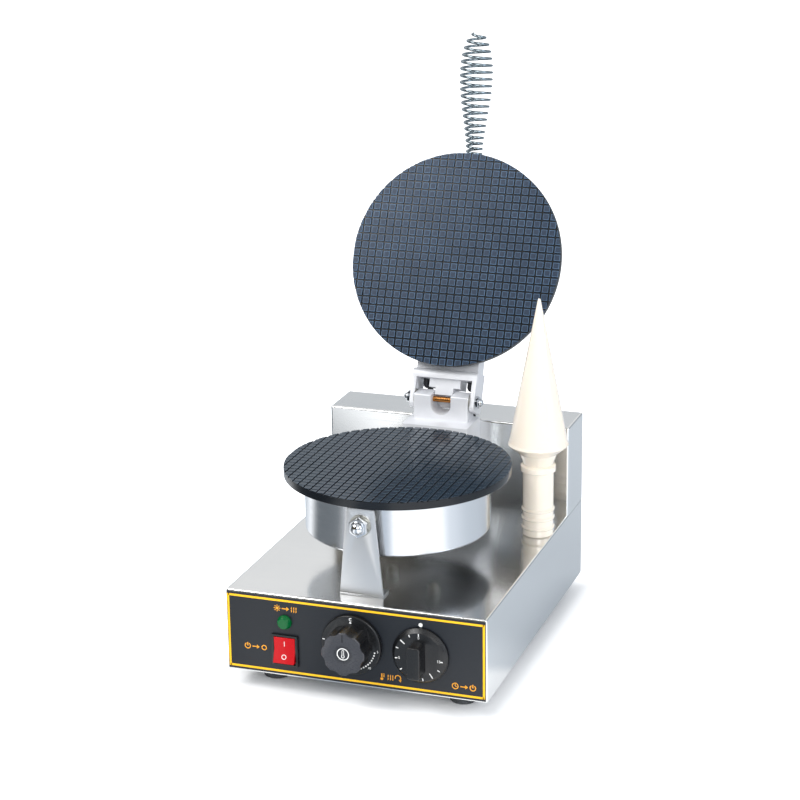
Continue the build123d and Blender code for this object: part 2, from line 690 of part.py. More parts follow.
TONGUE_SCREW_X = TONGUE_W / 4


def lower_drum():
    """Fixed drum, carried by the front bracket and the tongue of the hinge post."""
    cup = below_plate(drum(LOWER_DRUM_H))
    wall = 3 * DRUM_WALL
    cup -= rod((0, DRUM_FRONT_Y, BRACKET_BOLT_Z), BACK, wall, M10_R + THREAD_FIT)
    for side in (-1, 1):
        start = (side * TONGUE_SCREW_X, DRUM_REAR_Y, TONGUE_Z)
        cup -= rod(start, FRONT, DRUM_CUT, M6_R + THREAD_FIT)
    cup -= rod((CONDUIT_X, CONDUIT_Y, LOWER_DRUM_Z), UP, wall, CONDUIT_R + SEAT_GAP)
    return cup


def upper_drum():
    """Drum of the lid, with holes for the handle, the frame screws and the leads."""
    cup = above_plate(drum(UPPER_DRUM_H))
    cup -= Plane(origin=HANDLE_ROOT, z_dir=HANDLE_DIR).location * Cylinder(
        HANDLE_STUD_R + COVER_GAP, HANDLE_BOSS_L)
    for side in (-1, 1):
        start = (side * BLOCK_SCREW_X, DRUM_REAR_Y, BLOCK_Z)
        cup -= rod(start, FRONT, DRUM_CUT, M6_R + THREAD_FIT)
        start = (side * SLEEVE_X, DRUM_REAR_Y, BLOCK_Z)
        cup -= rod(start, FRONT, DRUM_CUT, SLEEVE_R + SEAT_GAP)
    return cup


def plates():
    save("lower_plate", plate(LOWER_FACE_Z, LOWER_BACK_Z))
    save("upper_plate", opened(plate(UPPER_FACE_Z, UPPER_BACK_Z)))
    save("lower_drum", lower_drum())
    save("upper_drum", opened(upper_drum()))
    stack("lower", LOWER_DRUM_H, below_plate)
    stack("upper", UPPER_DRUM_H, above_plate, opened)
    conduit_z = BASE_TOP - SHEET
    conduit_l = LOWER_DRUM_Z + 2 * DRUM_WALL - conduit_z
    save("lead_conduit", tube((CONDUIT_X, CONDUIT_Y, conduit_z), UP, conduit_l, CONDUIT_R,
                              CONDUIT_R - CONDUIT_WALL))


# ---- Front support ------------------------------------------------------------------------

def support_bracket():
    """Tapered upright with a foot folded to the rear onto the box."""
    half_foot = BRACKET_FOOT_W / 2
    half_top = BRACKET_TOP_W / 2
    outline = Polyline((-half_foot, BASE_TOP), (half_foot, BASE_TOP), (half_top, BRACKET_TOP_Z),
                       (-half_top, BRACKET_TOP_Z), close=True)
    upright = make_face(outline)
    upright = fillet(upright.vertices().group_by(Axis.Y)[-1], BRACKET_ROUND)
    sheet = Pos(0, BRACKET_Y + BRACKET_T, 0) * extrude(Plane.XZ.location * upright, BRACKET_T)
    sheet += block(-half_foot, half_foot, BRACKET_Y, BRACKET_Y + BRACKET_T + BRACKET_FOOT_L,
                   BASE_TOP, BASE_TOP + BRACKET_T)
    fold = [e for e in sheet.edges().filter_by(Axis.X)
            if e.center().Y < BRACKET_Y + SEAT_GAP and e.center().Z < BASE_TOP + SEAT_GAP]
    sheet = fillet(fold, BRACKET_T / 2)
    sheet -= rod((0, BRACKET_Y, BRACKET_BOLT_Z), BACK, BRACKET_T, M10_R + THREAD_FIT)
    for side in (-1, 1):
        start = (side * BRACKET_SCREW_X, BRACKET_SCREW_Y, BASE_TOP)
        sheet -= rod(start, UP, BRACKET_T, M4_R + THREAD_FIT)
    return sheet


def bracket_spacer():
    """Tube between the bracket and the drum, its rear end cut to the drum's curve."""
    start = (0, BRACKET_Y + BRACKET_T, BRACKET_BOLT_Z)
    reach = DRUM_R / 2
    spacer = tube(start, BACK, reach, SPACER_R, M10_R + THREAD_FIT)
    return spacer - rod((0, PLATE_Y, LOWER_DRUM_Z), UP, LOWER_DRUM_H, DRUM_R + SEAT_GAP)


def bracket_bolt():
    """Bolt from inside the drum to the acorn nut in front of the bracket."""
    seat_y = DRUM_FRONT_Y + 2 * DRUM_WALL
    length = seat_y - BRACKET_Y + M10_HEAD_H
    return hex_screw((0, seat_y, BRACKET_BOLT_Z), FRONT, length, M10_R, M10_FLATS, M10_HEAD_H)


def front_support():
    save("support_bracket", support_bracket())
    save("bracket_spacer", bracket_spacer())
    save("bracket_bolt", bracket_bolt())
    washer_t = BRACKET_T / 2
    washer_at = (0, BRACKET_Y, BRACKET_BOLT_Z)
    nut_at = along(washer_at, FRONT, washer_t)
    save("bracket_washer", tube(washer_at, FRONT, washer_t, M10_WASHER_R, M10_R + THREAD_FIT))
    save("bracket_acorn_nut", acorn_nut(nut_at, FRONT, M10_FLATS, M10_HEAD_H, M10_R))


# ---- Hinge --------------------------------------------------------------------------------

BLOCK_SCREW_X = 8.0
BUSH_R = PIN_R + RUNNING_FIT + BUSH_WALL
THREAD_END = 1.0          # thread left past the end of a screw


def drum_seat(screw_x):
    """Where the head of a screw beside the middle meets the inside of a drum."""
    far_side = screw_x + M6_HEAD_CORNER
    return PLATE_Y + math.sqrt((DRUM_R - DRUM_WALL) ** 2 - far_side ** 2) - SEAT_GAP


TONGUE_SEAT_Y = drum_seat(TONGUE_SCREW_X)
BLOCK_SEAT_Y = drum_seat(BLOCK_SCREW_X)


def m6_screw(seat, axis):
    """The hexagon screw that holds the post, the tongue and the lid's frame."""
    return hex_screw(seat, axis, M6_LENGTH, M6_R, M6_FLATS, M6_HEAD_H)


def sleeve_foot(side):
    """Where a lead sleeve enters the top of the rear housing."""
    return (side * SLEEVE_X, HINGE_Y + SLEEVE_BACK, HOUSING_TOP)


def hinge_post():
    """Cast post: wide block on the housing, two lugs for the pin, tongue to the drum."""
    half = POST_W / 2
    post = block(-half, half, POST_FRONT_Y, HOUSING_Y, POST_FLOOR_Z, POST_TOP_Z)
    upright = post.edges().filter_by(Axis.Z).group_by(Axis.Y)[0]
    post = fillet(upright, CLEVIS_ROUND)
    half = CLEVIS_W / 2
    front = HINGE_Y - CLEVIS_HALF_D
    back = HINGE_Y + CLEVIS_HALF_D
    lug_top = HINGE_Z + CLEVIS_OVER_PIN
    lugs = block(-half, half, front, back, POST_TOP_Z - POST_OVER_HOUSING, lug_top)
    post += fillet(lugs.edges().filter_by(Axis.X).group_by(Axis.Z)[-1], CLEVIS_ROUND)
    round_z = HINGE_Z - NOTCH_DROP + NOTCH_W / 2
    post -= block(-NOTCH_W / 2, NOTCH_W / 2, front, back, round_z, lug_top)
    post -= rod((0, front, round_z), BACK, back - front, NOTCH_W / 2)
    post -= rod((-half, HINGE_Y, HINGE_Z), RIGHT, CLEVIS_W, PIN_R + RUNNING_FIT)
    half = TONGUE_W / 2
    tongue = block(-half, half, PLATE_Y, POST_FRONT_Y, TONGUE_Z - TONGUE_H / 2,
                   TONGUE_Z + TONGUE_H / 2)
    post += tongue - rod((0, PLATE_Y, 0), UP, HINGE_Z, DRUM_R + SEAT_GAP)
    for side in (-1, 1):
        start = (side * TONGUE_SCREW_X, PLATE_Y, TONGUE_Z)
        reach = TONGUE_SEAT_Y - PLATE_Y + M6_LENGTH + THREAD_END
        post -= rod(start, BACK, reach, M6_R + THREAD_FIT)
    for x, z in POST_BOLT_PLACES:
        post -= rod((x, HOUSING_Y, z), FRONT, M6_LENGTH + THREAD_END, M6_R + THREAD_FIT)
    return post


def hinge_frame():
    """Cast frame of the lid: two arms, a cross bar, web, rib, flange and a block to the drum."""
    y_back = HINGE_Y + FRAME_BACK
    y_reach = HINGE_Y - FRAME_REACH
    z0 = HINGE_Z - FRAME_BELOW
    z1 = HINGE_Z + FRAME_ABOVE
    frame = block(-ARM_OUT, ARM_OUT, y_reach, y_back, z0, z1)
    frame = fillet(frame.edges().filter_by(Axis.X).group_by(Axis.Z)[0], FRAME_BEND_R)
    frame -= block(-ARM_IN, ARM_IN, y_reach + FRAME_BAR, y_back, z0, z1)
    web_y = y_reach + FRAME_BAR
    web_z = z0 + WEB_SETBACK
    frame += block(-WEB_W / 2, WEB_W / 2, web_y, HINGE_Y - WEB_TO_PIN, web_z, z1)
    frame += block(-RIB_W / 2, RIB_W / 2, web_y, HINGE_Y - RIB_TO_PIN, web_z, z1)
    frame += block(-FLANGE_W / 2, FLANGE_W / 2, HINGE_Y - FLANGE_FROM, HINGE_Y + FLANGE_TO,
                   z1 - FLANGE_T, z1)
    half = BLOCK_W / 2
    link = block(-half, half, PLATE_Y, y_reach, HINGE_Z, z1)
    frame += link - rod((0, PLATE_Y, 0), UP, 2 * HINGE_Z, DRUM_R + SEAT_GAP)
    frame -= rod((-ARM_OUT, HINGE_Y, HINGE_Z), RIGHT, 2 * ARM_OUT, BUSH_R)
    for side in (-1, 1):
        start = (side * BLOCK_SCREW_X, PLATE_Y, BLOCK_Z)
        reach = BLOCK_SEAT_Y - PLATE_Y + M6_LENGTH + THREAD_END
        frame -= rod(start, BACK, reach, M6_R + THREAD_FIT)
        start = (side * SLEEVE_X, PLATE_Y, BLOCK_Z)
        reach = y_reach + FRAME_BAR - PLATE_Y
        frame -= rod(start, BACK, reach, SLEEVE_R + SEAT_GAP)
    return frame


def hinge():
    save("hinge_post", hinge_post())
    bolts = [m6_screw((x, HOUSING_Y + SHEET, z), FRONT) for x, z in POST_BOLT_PLACES]
    bolts += [m6_screw((side * TONGUE_SCREW_X, TONGUE_SEAT_Y, TONGUE_Z), BACK) for side in (-1, 1)]
    save("post_bolts", *bolts)
    pin_half = ARM_OUT + NUT_PLAY + PIN_R
    save("hinge_pin", rod((-pin_half, HINGE_Y, HINGE_Z), RIGHT, 2 * pin_half, PIN_R))
    washers = []
    nuts = []
    bushes = []
    for side, axis in ((-1, LEFT), (1, RIGHT)):
        at = (side * (CLEVIS_W / 2 + (ARM_PLAY - WASHER_T) / 2), HINGE_Y, HINGE_Z)
        washers.append(tube(at, axis, WASHER_T, WASHER_R, PIN_R + THREAD_FIT))
        at = (side * (ARM_OUT + NUT_PLAY), HINGE_Y, HINGE_Z)
        nuts.append(acorn_nut(at, axis, PIN_NUT_FLATS, PIN_R + NUT_PLAY, PIN_R))
        at = (side * ARM_IN, HINGE_Y, HINGE_Z)
        bushes.append(opened(tube(at, axis, ARM_T, BUSH_R, PIN_R + RUNNING_FIT)))
    save("hinge_washers", *washers)
    save("hinge_acorn_nuts", *nuts)
    save("hinge_bushes", *bushes)
    save("hinge_frame", opened(hinge_frame()))
    save("frame_screws", *[opened(m6_screw((side * BLOCK_SCREW_X, BLOCK_SEAT_Y, BLOCK_Z), BACK))
                           for side in (-1, 1)])


def lead_sleeves():
    """Ends of the two heater leads: out of the lid's frame, and out of the housing."""
    lid_y = DRUM_REAR_Y - SLEEVE_INSIDE
    lid_l = HINGE_Y - SLEEVE_LID_END - lid_y
    save("lid_lead_sleeves", *[opened(rod((side * SLEEVE_X, lid_y, BLOCK_Z), BACK, lid_l, SLEEVE_R))
                               for side in (-1, 1)])
    lift = SLEEVE_INSIDE + SLEEVE_LIFT
    save("housing_lead_sleeves", *[rod(along(sleeve_foot(side), DOWN, SLEEVE_INSIDE), UP, lift,
                                       SLEEVE_R) for side in (-1, 1)])


# ---- Handle -------------------------------------------------------------------------------

HANDLE_ROOT = (0, DRUM_FRONT_Y, HANDLE_Z)
HANDLE_DIR = (0, -math.cos(math.radians(HANDLE_DIP)), -math.sin(math.radians(HANDLE_DIP)))
HANDLE_BACK = tuple(-a for a in HANDLE_DIR)
DRUM_SPACE = rod((0, PLATE_Y, 0), UP, 2 * HINGE_Z, DRUM_R + SEAT_GAP)
DRUM_INSIDE = rod((0, PLATE_Y, 0), UP, 2 * HINGE_Z, DRUM_R - DRUM_WALL - SEAT_GAP)
COIL_START = HANDLE_BOSS_L + SEAT_GAP


def coil_radius(share):
    """Outer radius of the coil at a share of its length, thickest past the middle."""
    if share < COIL_STRAIGHT:
        return COIL_FOOT_R
    if share < COIL_BELLY_AT:
        part = (share - COIL_STRAIGHT) / (COIL_BELLY_AT - COIL_STRAIGHT)
        return COIL_FOOT_R + (COIL_BELLY_R - COIL_FOOT_R) * math.sin(part * math.pi / 2) ** COIL_RISE
    part = (share - COIL_BELLY_AT) / (1 - COIL_BELLY_AT)
    return COIL_TIP_R + (COIL_BELLY_R - COIL_TIP_R) * max(0, 1 - part ** 2) ** COIL_FALL


def handle_coil():
    """Envelope of the spring grip: a barrel one wire thick, open inside."""
    length = HANDLE_L - COIL_START
    shares = [k / COIL_STEPS for k in range(COIL_STEPS + 1)]
    outer = [(coil_radius(s), length * s) for s in shares]
    inner = [(r - COIL_WIRE, h) for r, h in reversed(outer)]
    return turned(outer + inner, along(HANDLE_ROOT, HANDLE_DIR, COIL_START), HANDLE_DIR)


def handle_boss():
    """Boss on the drum with a nipple for the first turns of the coil."""
    start = along(HANDLE_ROOT, HANDLE_BACK, HANDLE_BOSS_L)
    whole = 2 * HANDLE_BOSS_L + HANDLE_NIPPLE_L
    boss = rod(start, HANDLE_DIR, 2 * HANDLE_BOSS_L, HANDLE_BOSS_R)
    boss += rod(start, HANDLE_DIR, whole, COIL_FOOT_R - COIL_WIRE - SEAT_GAP)
    return boss - rod(start, HANDLE_DIR, whole, HANDLE_STUD_R + THREAD_FIT) - DRUM_SPACE


def handle():
    start = along(HANDLE_ROOT, HANDLE_BACK, HANDLE_BOSS_L)
    stud_l = 2 * HANDLE_BOSS_L + HANDLE_NIPPLE_L
    save("handle_stud", opened(rod(start, HANDLE_DIR, stud_l, HANDLE_STUD_R)))
    save("handle_boss", opened(handle_boss()))
    half = HANDLE_BOSS_L / 2
    nut_at = along(HANDLE_ROOT, HANDLE_BACK, half)
    wedge = tube(nut_at, HANDLE_DIR, half, HANDLE_BOSS_R - SEAT_GAP, HANDLE_STUD_R + THREAD_FIT)
    inner_nut = nut(nut_at, HANDLE_BACK, half - SEAT_GAP, HANDLE_NUT_FLATS, HANDLE_STUD_R)
    save("handle_root_nut", opened(wedge & DRUM_INSIDE), opened(inner_nut))
    save("handle_coil", opened(handle_coil()))


# ---- Panel and controls -------------------------------------------------------------------

def switch_cut(y0, y1):
    """The window for the switch body."""
    half_w = BEZEL_W / 2 - BEZEL_RIM_X + SWITCH_WALL + SEAT_GAP
    half_h = BEZEL_H / 2 - BEZEL_RIM_Z + SWITCH_WALL + SEAT_GAP
    return block(SWITCH_X - half_w, SWITCH_X + half_w, y0, y1, SWITCH_Z - half_h, SWITCH_Z + half_h)


def control_panel():
    """Dark overlay on the front face, behind the knobs."""
    half_w = SIDE_X - PANEL_SIDE_INSET
    panel = block(-half_w, half_w, PANEL_Y, FRONT_Y, FOOT_H + PANEL_BOTTOM_INSET,
                  BASE_TOP - PANEL_TOP_INSET)
    for x, z, radius in ((LAMP_X, LAMP_Z, LAMP_NECK_R), (THERMO_X, THERMO_Z, BUSHING_R),
                         (TIMER_X, TIMER_Z, BUSHING_R)):
        panel -= rod((x, PANEL_Y, z), BACK, PANEL_T, radius + THREAD_FIT)
    return panel - switch_cut(PANEL_Y, FRONT_Y)


def lamp():
    face = (LAMP_X, PANEL_Y, LAMP_Z)
    lens = turned([(0, 0), (LAMP_R, 0), (LAMP_R, LAMP_RIM_H), (LAMP_TOP_R, LAMP_LENS_H),
                   (0, LAMP_LENS_H)], face, FRONT, (3,), LAMP_ROUND)
    save("lamp_lens", lens)
    save("lamp_body", rod(face, BACK, LAMP_BODY_L, LAMP_NECK_R))


ROCKER_PIVOT_Y = PANEL_Y + ROCKER_SETBACK


def switch():
    half_w = BEZEL_W / 2
    half_h = BEZEL_H / 2
    bezel = block(SWITCH_X - half_w, SWITCH_X + half_w, PANEL_Y - BEZEL_T, PANEL_Y,
                  SWITCH_Z - half_h, SWITCH_Z + half_h)
    bezel = fillet(bezel.edges().filter_by(Axis.Y), BEZEL_T / 2)
    well_w = half_w - BEZEL_RIM_X
    well_h = half_h - BEZEL_RIM_Z
    body = block(SWITCH_X - well_w - SWITCH_WALL, SWITCH_X + well_w + SWITCH_WALL,
                 PANEL_Y, PANEL_Y + SWITCH_DEPTH,
                 SWITCH_Z - well_h - SWITCH_WALL, SWITCH_Z + well_h + SWITCH_WALL)
    well = block(SWITCH_X - well_w, SWITCH_X + well_w, PANEL_Y - BEZEL_T,
                 PANEL_Y + SWITCH_DEPTH / 2, SWITCH_Z - well_h, SWITCH_Z + well_h)
    pivot_half = well_w + SWITCH_WALL / 2
    pivot_at = (SWITCH_X - pivot_half, ROCKER_PIVOT_Y, SWITCH_Z)
    body = bezel + body - well
    body -= rod(pivot_at, RIGHT, 2 * pivot_half, ROCKER_PIVOT_R + RUNNING_FIT)
    save("switch_body", body)
    reach = well_h - ROCKER_END_PLAY
    waist = reach * ROCKER_WAIST
    outline = Polyline((reach, ROCKER_OUT), (0, BEZEL_T), (-reach, ROCKER_OUT),
                       (-waist, -ROCKER_OUT), (0, -2 * ROCKER_OUT), (waist, -ROCKER_OUT),
                       close=True)
    face = Plane(origin=(SWITCH_X, PANEL_Y, SWITCH_Z), x_dir=UP, z_dir=RIGHT).location
    half = well_w - ROCKER_PLAY
    rocker = face * (Pos(0, 0, -half) * extrude(make_face(outline), amount=2 * half))
    play = RUNNING_FIT * 2
    rocker += rod(along(pivot_at, RIGHT, play), RIGHT, 2 * (pivot_half - play), ROCKER_PIVOT_R)
    pivot = Axis((SWITCH_X, ROCKER_PIVOT_Y, SWITCH_Z), RIGHT)
    save("switch_rocker", rocker.rotate(pivot, -ROCKER_TILT))
    y0 = PANEL_Y + SWITCH_DEPTH
    spades = [block(SWITCH_X - SPADE_W / 2, SWITCH_X + SPADE_W / 2, y0, y0 + SPADE_L,
                    z - SPADE_T / 2, z + SPADE_T / 2)
              for z in (SWITCH_Z - well_h / 2, SWITCH_Z + well_h / 2)]
    save("switch_terminals", *spades)


def control_shaft(x, z):
    """Shaft of a control, from its body to inside its knob."""
    start = (x, BODY_Y + SHAFT_IN_BODY, z)
    length = start[1] - (PANEL_Y - DIAL_GAP) + SHAFT_GRIP
    return rod(start, FRONT, length, SHAFT_R)


def control_body(body, x, z):
    """Adds the threaded bushing through the panel and the bore for the shaft."""
    start = (x, BODY_Y, z)
    body += rod(start, FRONT, BODY_Y - PANEL_Y, BUSHING_R)
    start = along(start, BACK, SHAFT_IN_BODY + DIAL_GAP)
    return body - rod(start, FRONT, start[1] - PANEL_Y, SHAFT_R + RUNNING_FIT)


def shaft_bore(knob, x, z):
    """Cuts the shaft's bore into the back of a knob."""
    back = (x, PANEL_Y - DIAL_GAP, z)
    return knob - rod(back, FRONT, SHAFT_GRIP, SHAFT_R)


def thermostat():
    half = THERMO_BODY / 2
    case = block(THERMO_X - half, THERMO_X + half, BODY_Y, BODY_Y + THERMO_BODY_D,
                 THERMO_Z - half, THERMO_Z + THERMO_BODY_UP)
    save("thermostat_body", control_body(case, THERMO_X, THERMO_Z))
    save("thermostat_shaft", control_shaft(THERMO_X, THERMO_Z))
    back = (THERMO_X, PANEL_Y - DIAL_GAP, THERMO_Z)
    top = THERMO_SKIRT_T + THERMO_GRIP_H
    knob = turned([(0, 0), (THERMO_SKIRT_R, 0), (THERMO_SKIRT_R, THERMO_SKIRT_T),
                   (THERMO_GRIP_R, THERMO_SKIRT_T), (THERMO_FACE_R, top), (THERMO_DISH_R, top),
                   (THERMO_HUB_R, top - THERMO_DISH_DEPTH), (0, top - THERMO_DISH_DEPTH)],
                  back, FRONT, (2, 4), KNOB_ROUND)
    centre = THERMO_GRIP_R + THERMO_SCALLOP_R - THERMO_SCALLOP_DEPTH
    for dx, dz in ring_points(THERMO_SCALLOPS, centre, 180 / THERMO_SCALLOPS):
        start = (THERMO_X + dx, back[1] - THERMO_SKIRT_T, THERMO_Z + dz)
        knob -= rod(start, FRONT, THERMO_GRIP_H, THERMO_SCALLOP_R)
    save("thermostat_knob", shaft_bore(knob, THERMO_X, THERMO_Z))


def timer():
    case = rod((TIMER_X, BODY_Y, TIMER_Z), BACK, TIMER_BODY_D, TIMER_BODY_R)
    save("timer_body", control_body(case, TIMER_X, TIMER_Z))
    save("timer_shaft", control_shaft(TIMER_X, TIMER_Z))
    back = (TIMER_X, PANEL_Y - DIAL_GAP, TIMER_Z)
    knob = turned([(0, 0), (TIMER_SKIRT_R, 0), (TIMER_SKIRT_R, TIMER_EDGE_T),
                   (TIMER_FACE_R, TIMER_SKIRT_T), (0, TIMER_SKIRT_T)],
                  back, FRONT, (2, 3), KNOB_ROUND / 2)
    face_y = back[1] - TIMER_SKIRT_T
    half_w = TIMER_GRIP_W / 2
    half_l = TIMER_GRIP_L / 2
    grip = block(TIMER_X - half_w, TIMER_X + half_w, face_y - TIMER_GRIP_H, face_y + KNOB_ROUND,
                 TIMER_Z - half_l, TIMER_Z + half_l)
    grip = fillet(grip.edges().filter_by(Axis.Y), TIMER_GRIP_ROUND)
    grip = fillet(grip.faces().sort_by(Axis.Y)[0].edges(), KNOB_ROUND)
    save("timer_knob", shaft_bore(knob + grip, TIMER_X, TIMER_Z))


def mains():
    """Cable gland in the rear wall and the terminal block behind it."""
    wall = (GLAND_X, REAR_Y, GLAND_Z)
    inner = (GLAND_X, REAR_Y - SHEET, GLAND_Z)
    gland = hex_bar(wall, BACK, GLAND_HEX_H, GLAND_FLATS) + rod(wall, BACK, GLAND_OUT, GLAND_R)
    inside = SHEET + GLAND_IN
    gland += rod(wall, FRONT, inside, GLAND_NECK_R)
    end = along(wall, FRONT, inside)
    gland -= rod(end, BACK, inside + GLAND_OUT, GLAND_BORE_R)
    save("cable_gland", gland)
    save("gland_nut", nut(inner, FRONT, GLAND_NUT_H, GLAND_FLATS, GLAND_NECK_R))
    z0 = FOOT_H + SHEET
    x0 = TERMINAL_X - TERMINAL_L / 2
    y0 = TERMINAL_Y - TERMINAL_D / 2
    body = block(x0, x0 + TERMINAL_L, y0, y0 + TERMINAL_D, z0, z0 + TERMINAL_H)
    for k in range(TERMINAL_POLES):
        x = x0 + TERMINAL_L * (k + 0.5) / TERMINAL_POLES
        body -= rod((x, TERMINAL_Y, z0 + TERMINAL_H), DOWN, TERMINAL_H / 2, TERMINAL_HOLE_R)
    save("terminal_block", body)


def panel():
    save("control_panel", control_panel())
    lamp()
    switch()
    thermostat()
    timer()
    mains()


# ---- Cone former --------------------------------------------------------------------------

def cone_former():
    """Turned former on which a warm krumkake is rolled: grip, collar and cone."""
    points = [(0, 0), (CONE_GRIP_R - CONE_ROUND, 0), (CONE_GRIP_R, CONE_ROUND)]
    for height in CONE_BEAD_HEIGHTS:
        points += [(CONE_GRIP_R, height - CONE_BEAD_HALF), (CONE_BEAD_R, height - CONE_BEAD_CREST),
                   (CONE_BEAD_R, height + CONE_BEAD_CREST), (CONE_GRIP_R, height + CONE_BEAD_HALF)]
    low = CONE_COLLAR_Z - CONE_COLLAR_HALF
    high = CONE_COLLAR_Z + CONE_COLLAR_HALF
    points += [(CONE_GRIP_R, low), (CONE_COLLAR_R, low + CONE_ROUND),
               (CONE_COLLAR_R, high - CONE_ROUND), (CONE_NECK_R, high)]
    lip_low = CONE_SKIRT_Z - CONE_SKIRT_LIP / 2
    lip_r = CONE_SKIRT_R - CONE_ROUND
    points += [(CONE_FLARE_R, CONE_FLARE_Z), (lip_r, lip_low), (CONE_SKIRT_R, CONE_SKIRT_Z),
               (lip_r, CONE_SKIRT_Z + CONE_SKIRT_LIP)]
    points += [(CONE_TIP_R, CONE_H - CONE_TIP_R), (CONE_TIP_R / 2, CONE_H), (0, CONE_H)]
    save("cone_former", turned(points, (CONE_X, CONE_Y, BASE_TOP), UP))


os.makedirs("parts", exist_ok=True)
control_box()
housing()
plates()
front_support()
hinge()
lead_sleeves()
box_fasteners()
handle()
panel()
cone_former()
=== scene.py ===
# %% [markdown]
# # An electric krumkake iron
# A stainless box carries a fixed baking plate and a hinged one, a panel with two knobs, a
# switch and a lamp, and a cone former. The solids are ready and stay where they are. This
# file gives them their finishes, and makes the pieces whose shape is too fine for solids:
# the waffle grid, the coil handle, the printed marks and the soft edges of castings.

import json
import math

import bmesh
import bpy
from mathutils import Matrix, Vector

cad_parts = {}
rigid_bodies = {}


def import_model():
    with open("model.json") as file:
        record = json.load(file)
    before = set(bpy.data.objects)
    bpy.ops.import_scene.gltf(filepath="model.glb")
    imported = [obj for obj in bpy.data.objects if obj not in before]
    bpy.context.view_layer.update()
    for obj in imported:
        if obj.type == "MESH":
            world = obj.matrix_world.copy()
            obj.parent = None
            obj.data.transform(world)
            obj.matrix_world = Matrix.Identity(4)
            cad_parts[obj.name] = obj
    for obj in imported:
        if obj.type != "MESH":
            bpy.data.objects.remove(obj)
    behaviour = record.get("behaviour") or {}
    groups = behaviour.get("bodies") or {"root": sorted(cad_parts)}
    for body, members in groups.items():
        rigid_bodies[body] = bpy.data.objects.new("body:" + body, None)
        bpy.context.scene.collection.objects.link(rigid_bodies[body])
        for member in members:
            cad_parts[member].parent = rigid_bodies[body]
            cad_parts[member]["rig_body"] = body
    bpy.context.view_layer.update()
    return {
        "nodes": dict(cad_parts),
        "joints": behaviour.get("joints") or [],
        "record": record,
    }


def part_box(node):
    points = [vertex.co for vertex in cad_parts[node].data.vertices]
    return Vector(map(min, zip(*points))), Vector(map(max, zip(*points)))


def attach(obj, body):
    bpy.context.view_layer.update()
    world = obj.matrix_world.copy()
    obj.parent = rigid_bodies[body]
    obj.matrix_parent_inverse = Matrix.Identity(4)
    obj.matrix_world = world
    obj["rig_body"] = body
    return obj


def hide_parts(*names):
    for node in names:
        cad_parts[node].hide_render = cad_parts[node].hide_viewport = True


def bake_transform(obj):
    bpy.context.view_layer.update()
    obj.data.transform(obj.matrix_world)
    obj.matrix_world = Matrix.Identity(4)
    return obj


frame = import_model()
MM = 0.001

# %% [markdown]
# ## Small tools
# Every material and every Geometry Nodes tree is built with one function that adds a node,
# sets it and links it. Colours are written as hex values, the way a paint chart gives them,
# and turned to the linear numbers that the renderer works in.

# %% Add a node with its settings and links
def add(tree, kind, inputs=None, **settings):
    made = tree.nodes.new(kind)
    for name, value in settings.items():
        setattr(made, name, value)
    for socket, value in (inputs or {}).items():
        if isinstance(value, bpy.types.NodeSocket):
            tree.links.new(value, made.inputs[socket])
        else:
            made.inputs[socket].default_value = value
    return made


# %% Two numbers worked out, two colours mixed, a value faded in
def maths(tree, kind, *values):
    return add(tree, "ShaderNodeMath", dict(enumerate(values)), operation=kind).outputs[0]


def mixed(tree, amount, first, second):
    return add(tree, "ShaderNodeMix", {0: amount, 6: first, 7: second},
               data_type="RGBA").outputs[2]


def faded(tree, value, limits, curve="SMOOTHSTEP"):
    """0 at the first limit and 1 at the second."""
    return add(tree, "ShaderNodeMapRange", {0: value, 1: limits[0], 2: limits[1]},
               interpolation_type=curve).outputs[0]


# %% Turn a hex colour to linear
def paint(hex_colour):
    parts = [int(hex_colour[k:k + 2], 16) / 255 for k in (1, 3, 5)]
    linear = [c / 12.92 if c <= 0.04045 else ((c + 0.055) / 1.055) ** 2.4 for c in parts]
    return (*linear, 1.0)


# %% Start a material with one surface shader
def finish_of(name, colour, metallic, roughness):
    material = bpy.data.materials.new(name)
    material.use_nodes = True
    tree = material.node_tree
    shader = tree.nodes["Principled BSDF"]
    shader.inputs["Base Color"].default_value = paint(colour)
    shader.inputs["Metallic"].default_value = metallic
    shader.inputs["Roughness"].default_value = roughness
    place = add(tree, "ShaderNodeTexCoord").outputs["Object"]
    return material, tree, shader, place


# %% [markdown]
# ## Camera
# A long lens from a little above and to the right of the front, as for a catalogue page.
# The camera is turned in three steps: around the object, down to it, and a slight roll.

# %% Camera
CAMERA_PLACE = Vector((0.6396, -1.8363, 0.8511))
CAMERA_AROUND = math.radians(19.51)
CAMERA_DOWN = math.radians(17.58)
CAMERA_ROLL = math.radians(-0.79)
CAMERA_LENS = 98.86

lens = bpy.data.cameras.new("catalogue_camera")
lens.lens = CAMERA_LENS
lens.sensor_width = 36.0
camera = bpy.data.objects.new("catalogue_camera", lens)
bpy.context.scene.collection.objects.link(camera)
turn = Matrix.Rotation(CAMERA_AROUND, 4, "Z")
turn = turn @ Matrix.Rotation(math.radians(90) - CAMERA_DOWN, 4, "X")
turn = turn @ Matrix.Rotation(CAMERA_ROLL, 4, "Z")
camera.matrix_world = Matrix.Translation(CAMERA_PLACE) @ turn
bpy.context.scene.camera = camera
bpy.context.scene.view_settings.view_transform = "Standard"
print("camera at", tuple(round(c, 3) for c in CAMERA_PLACE))
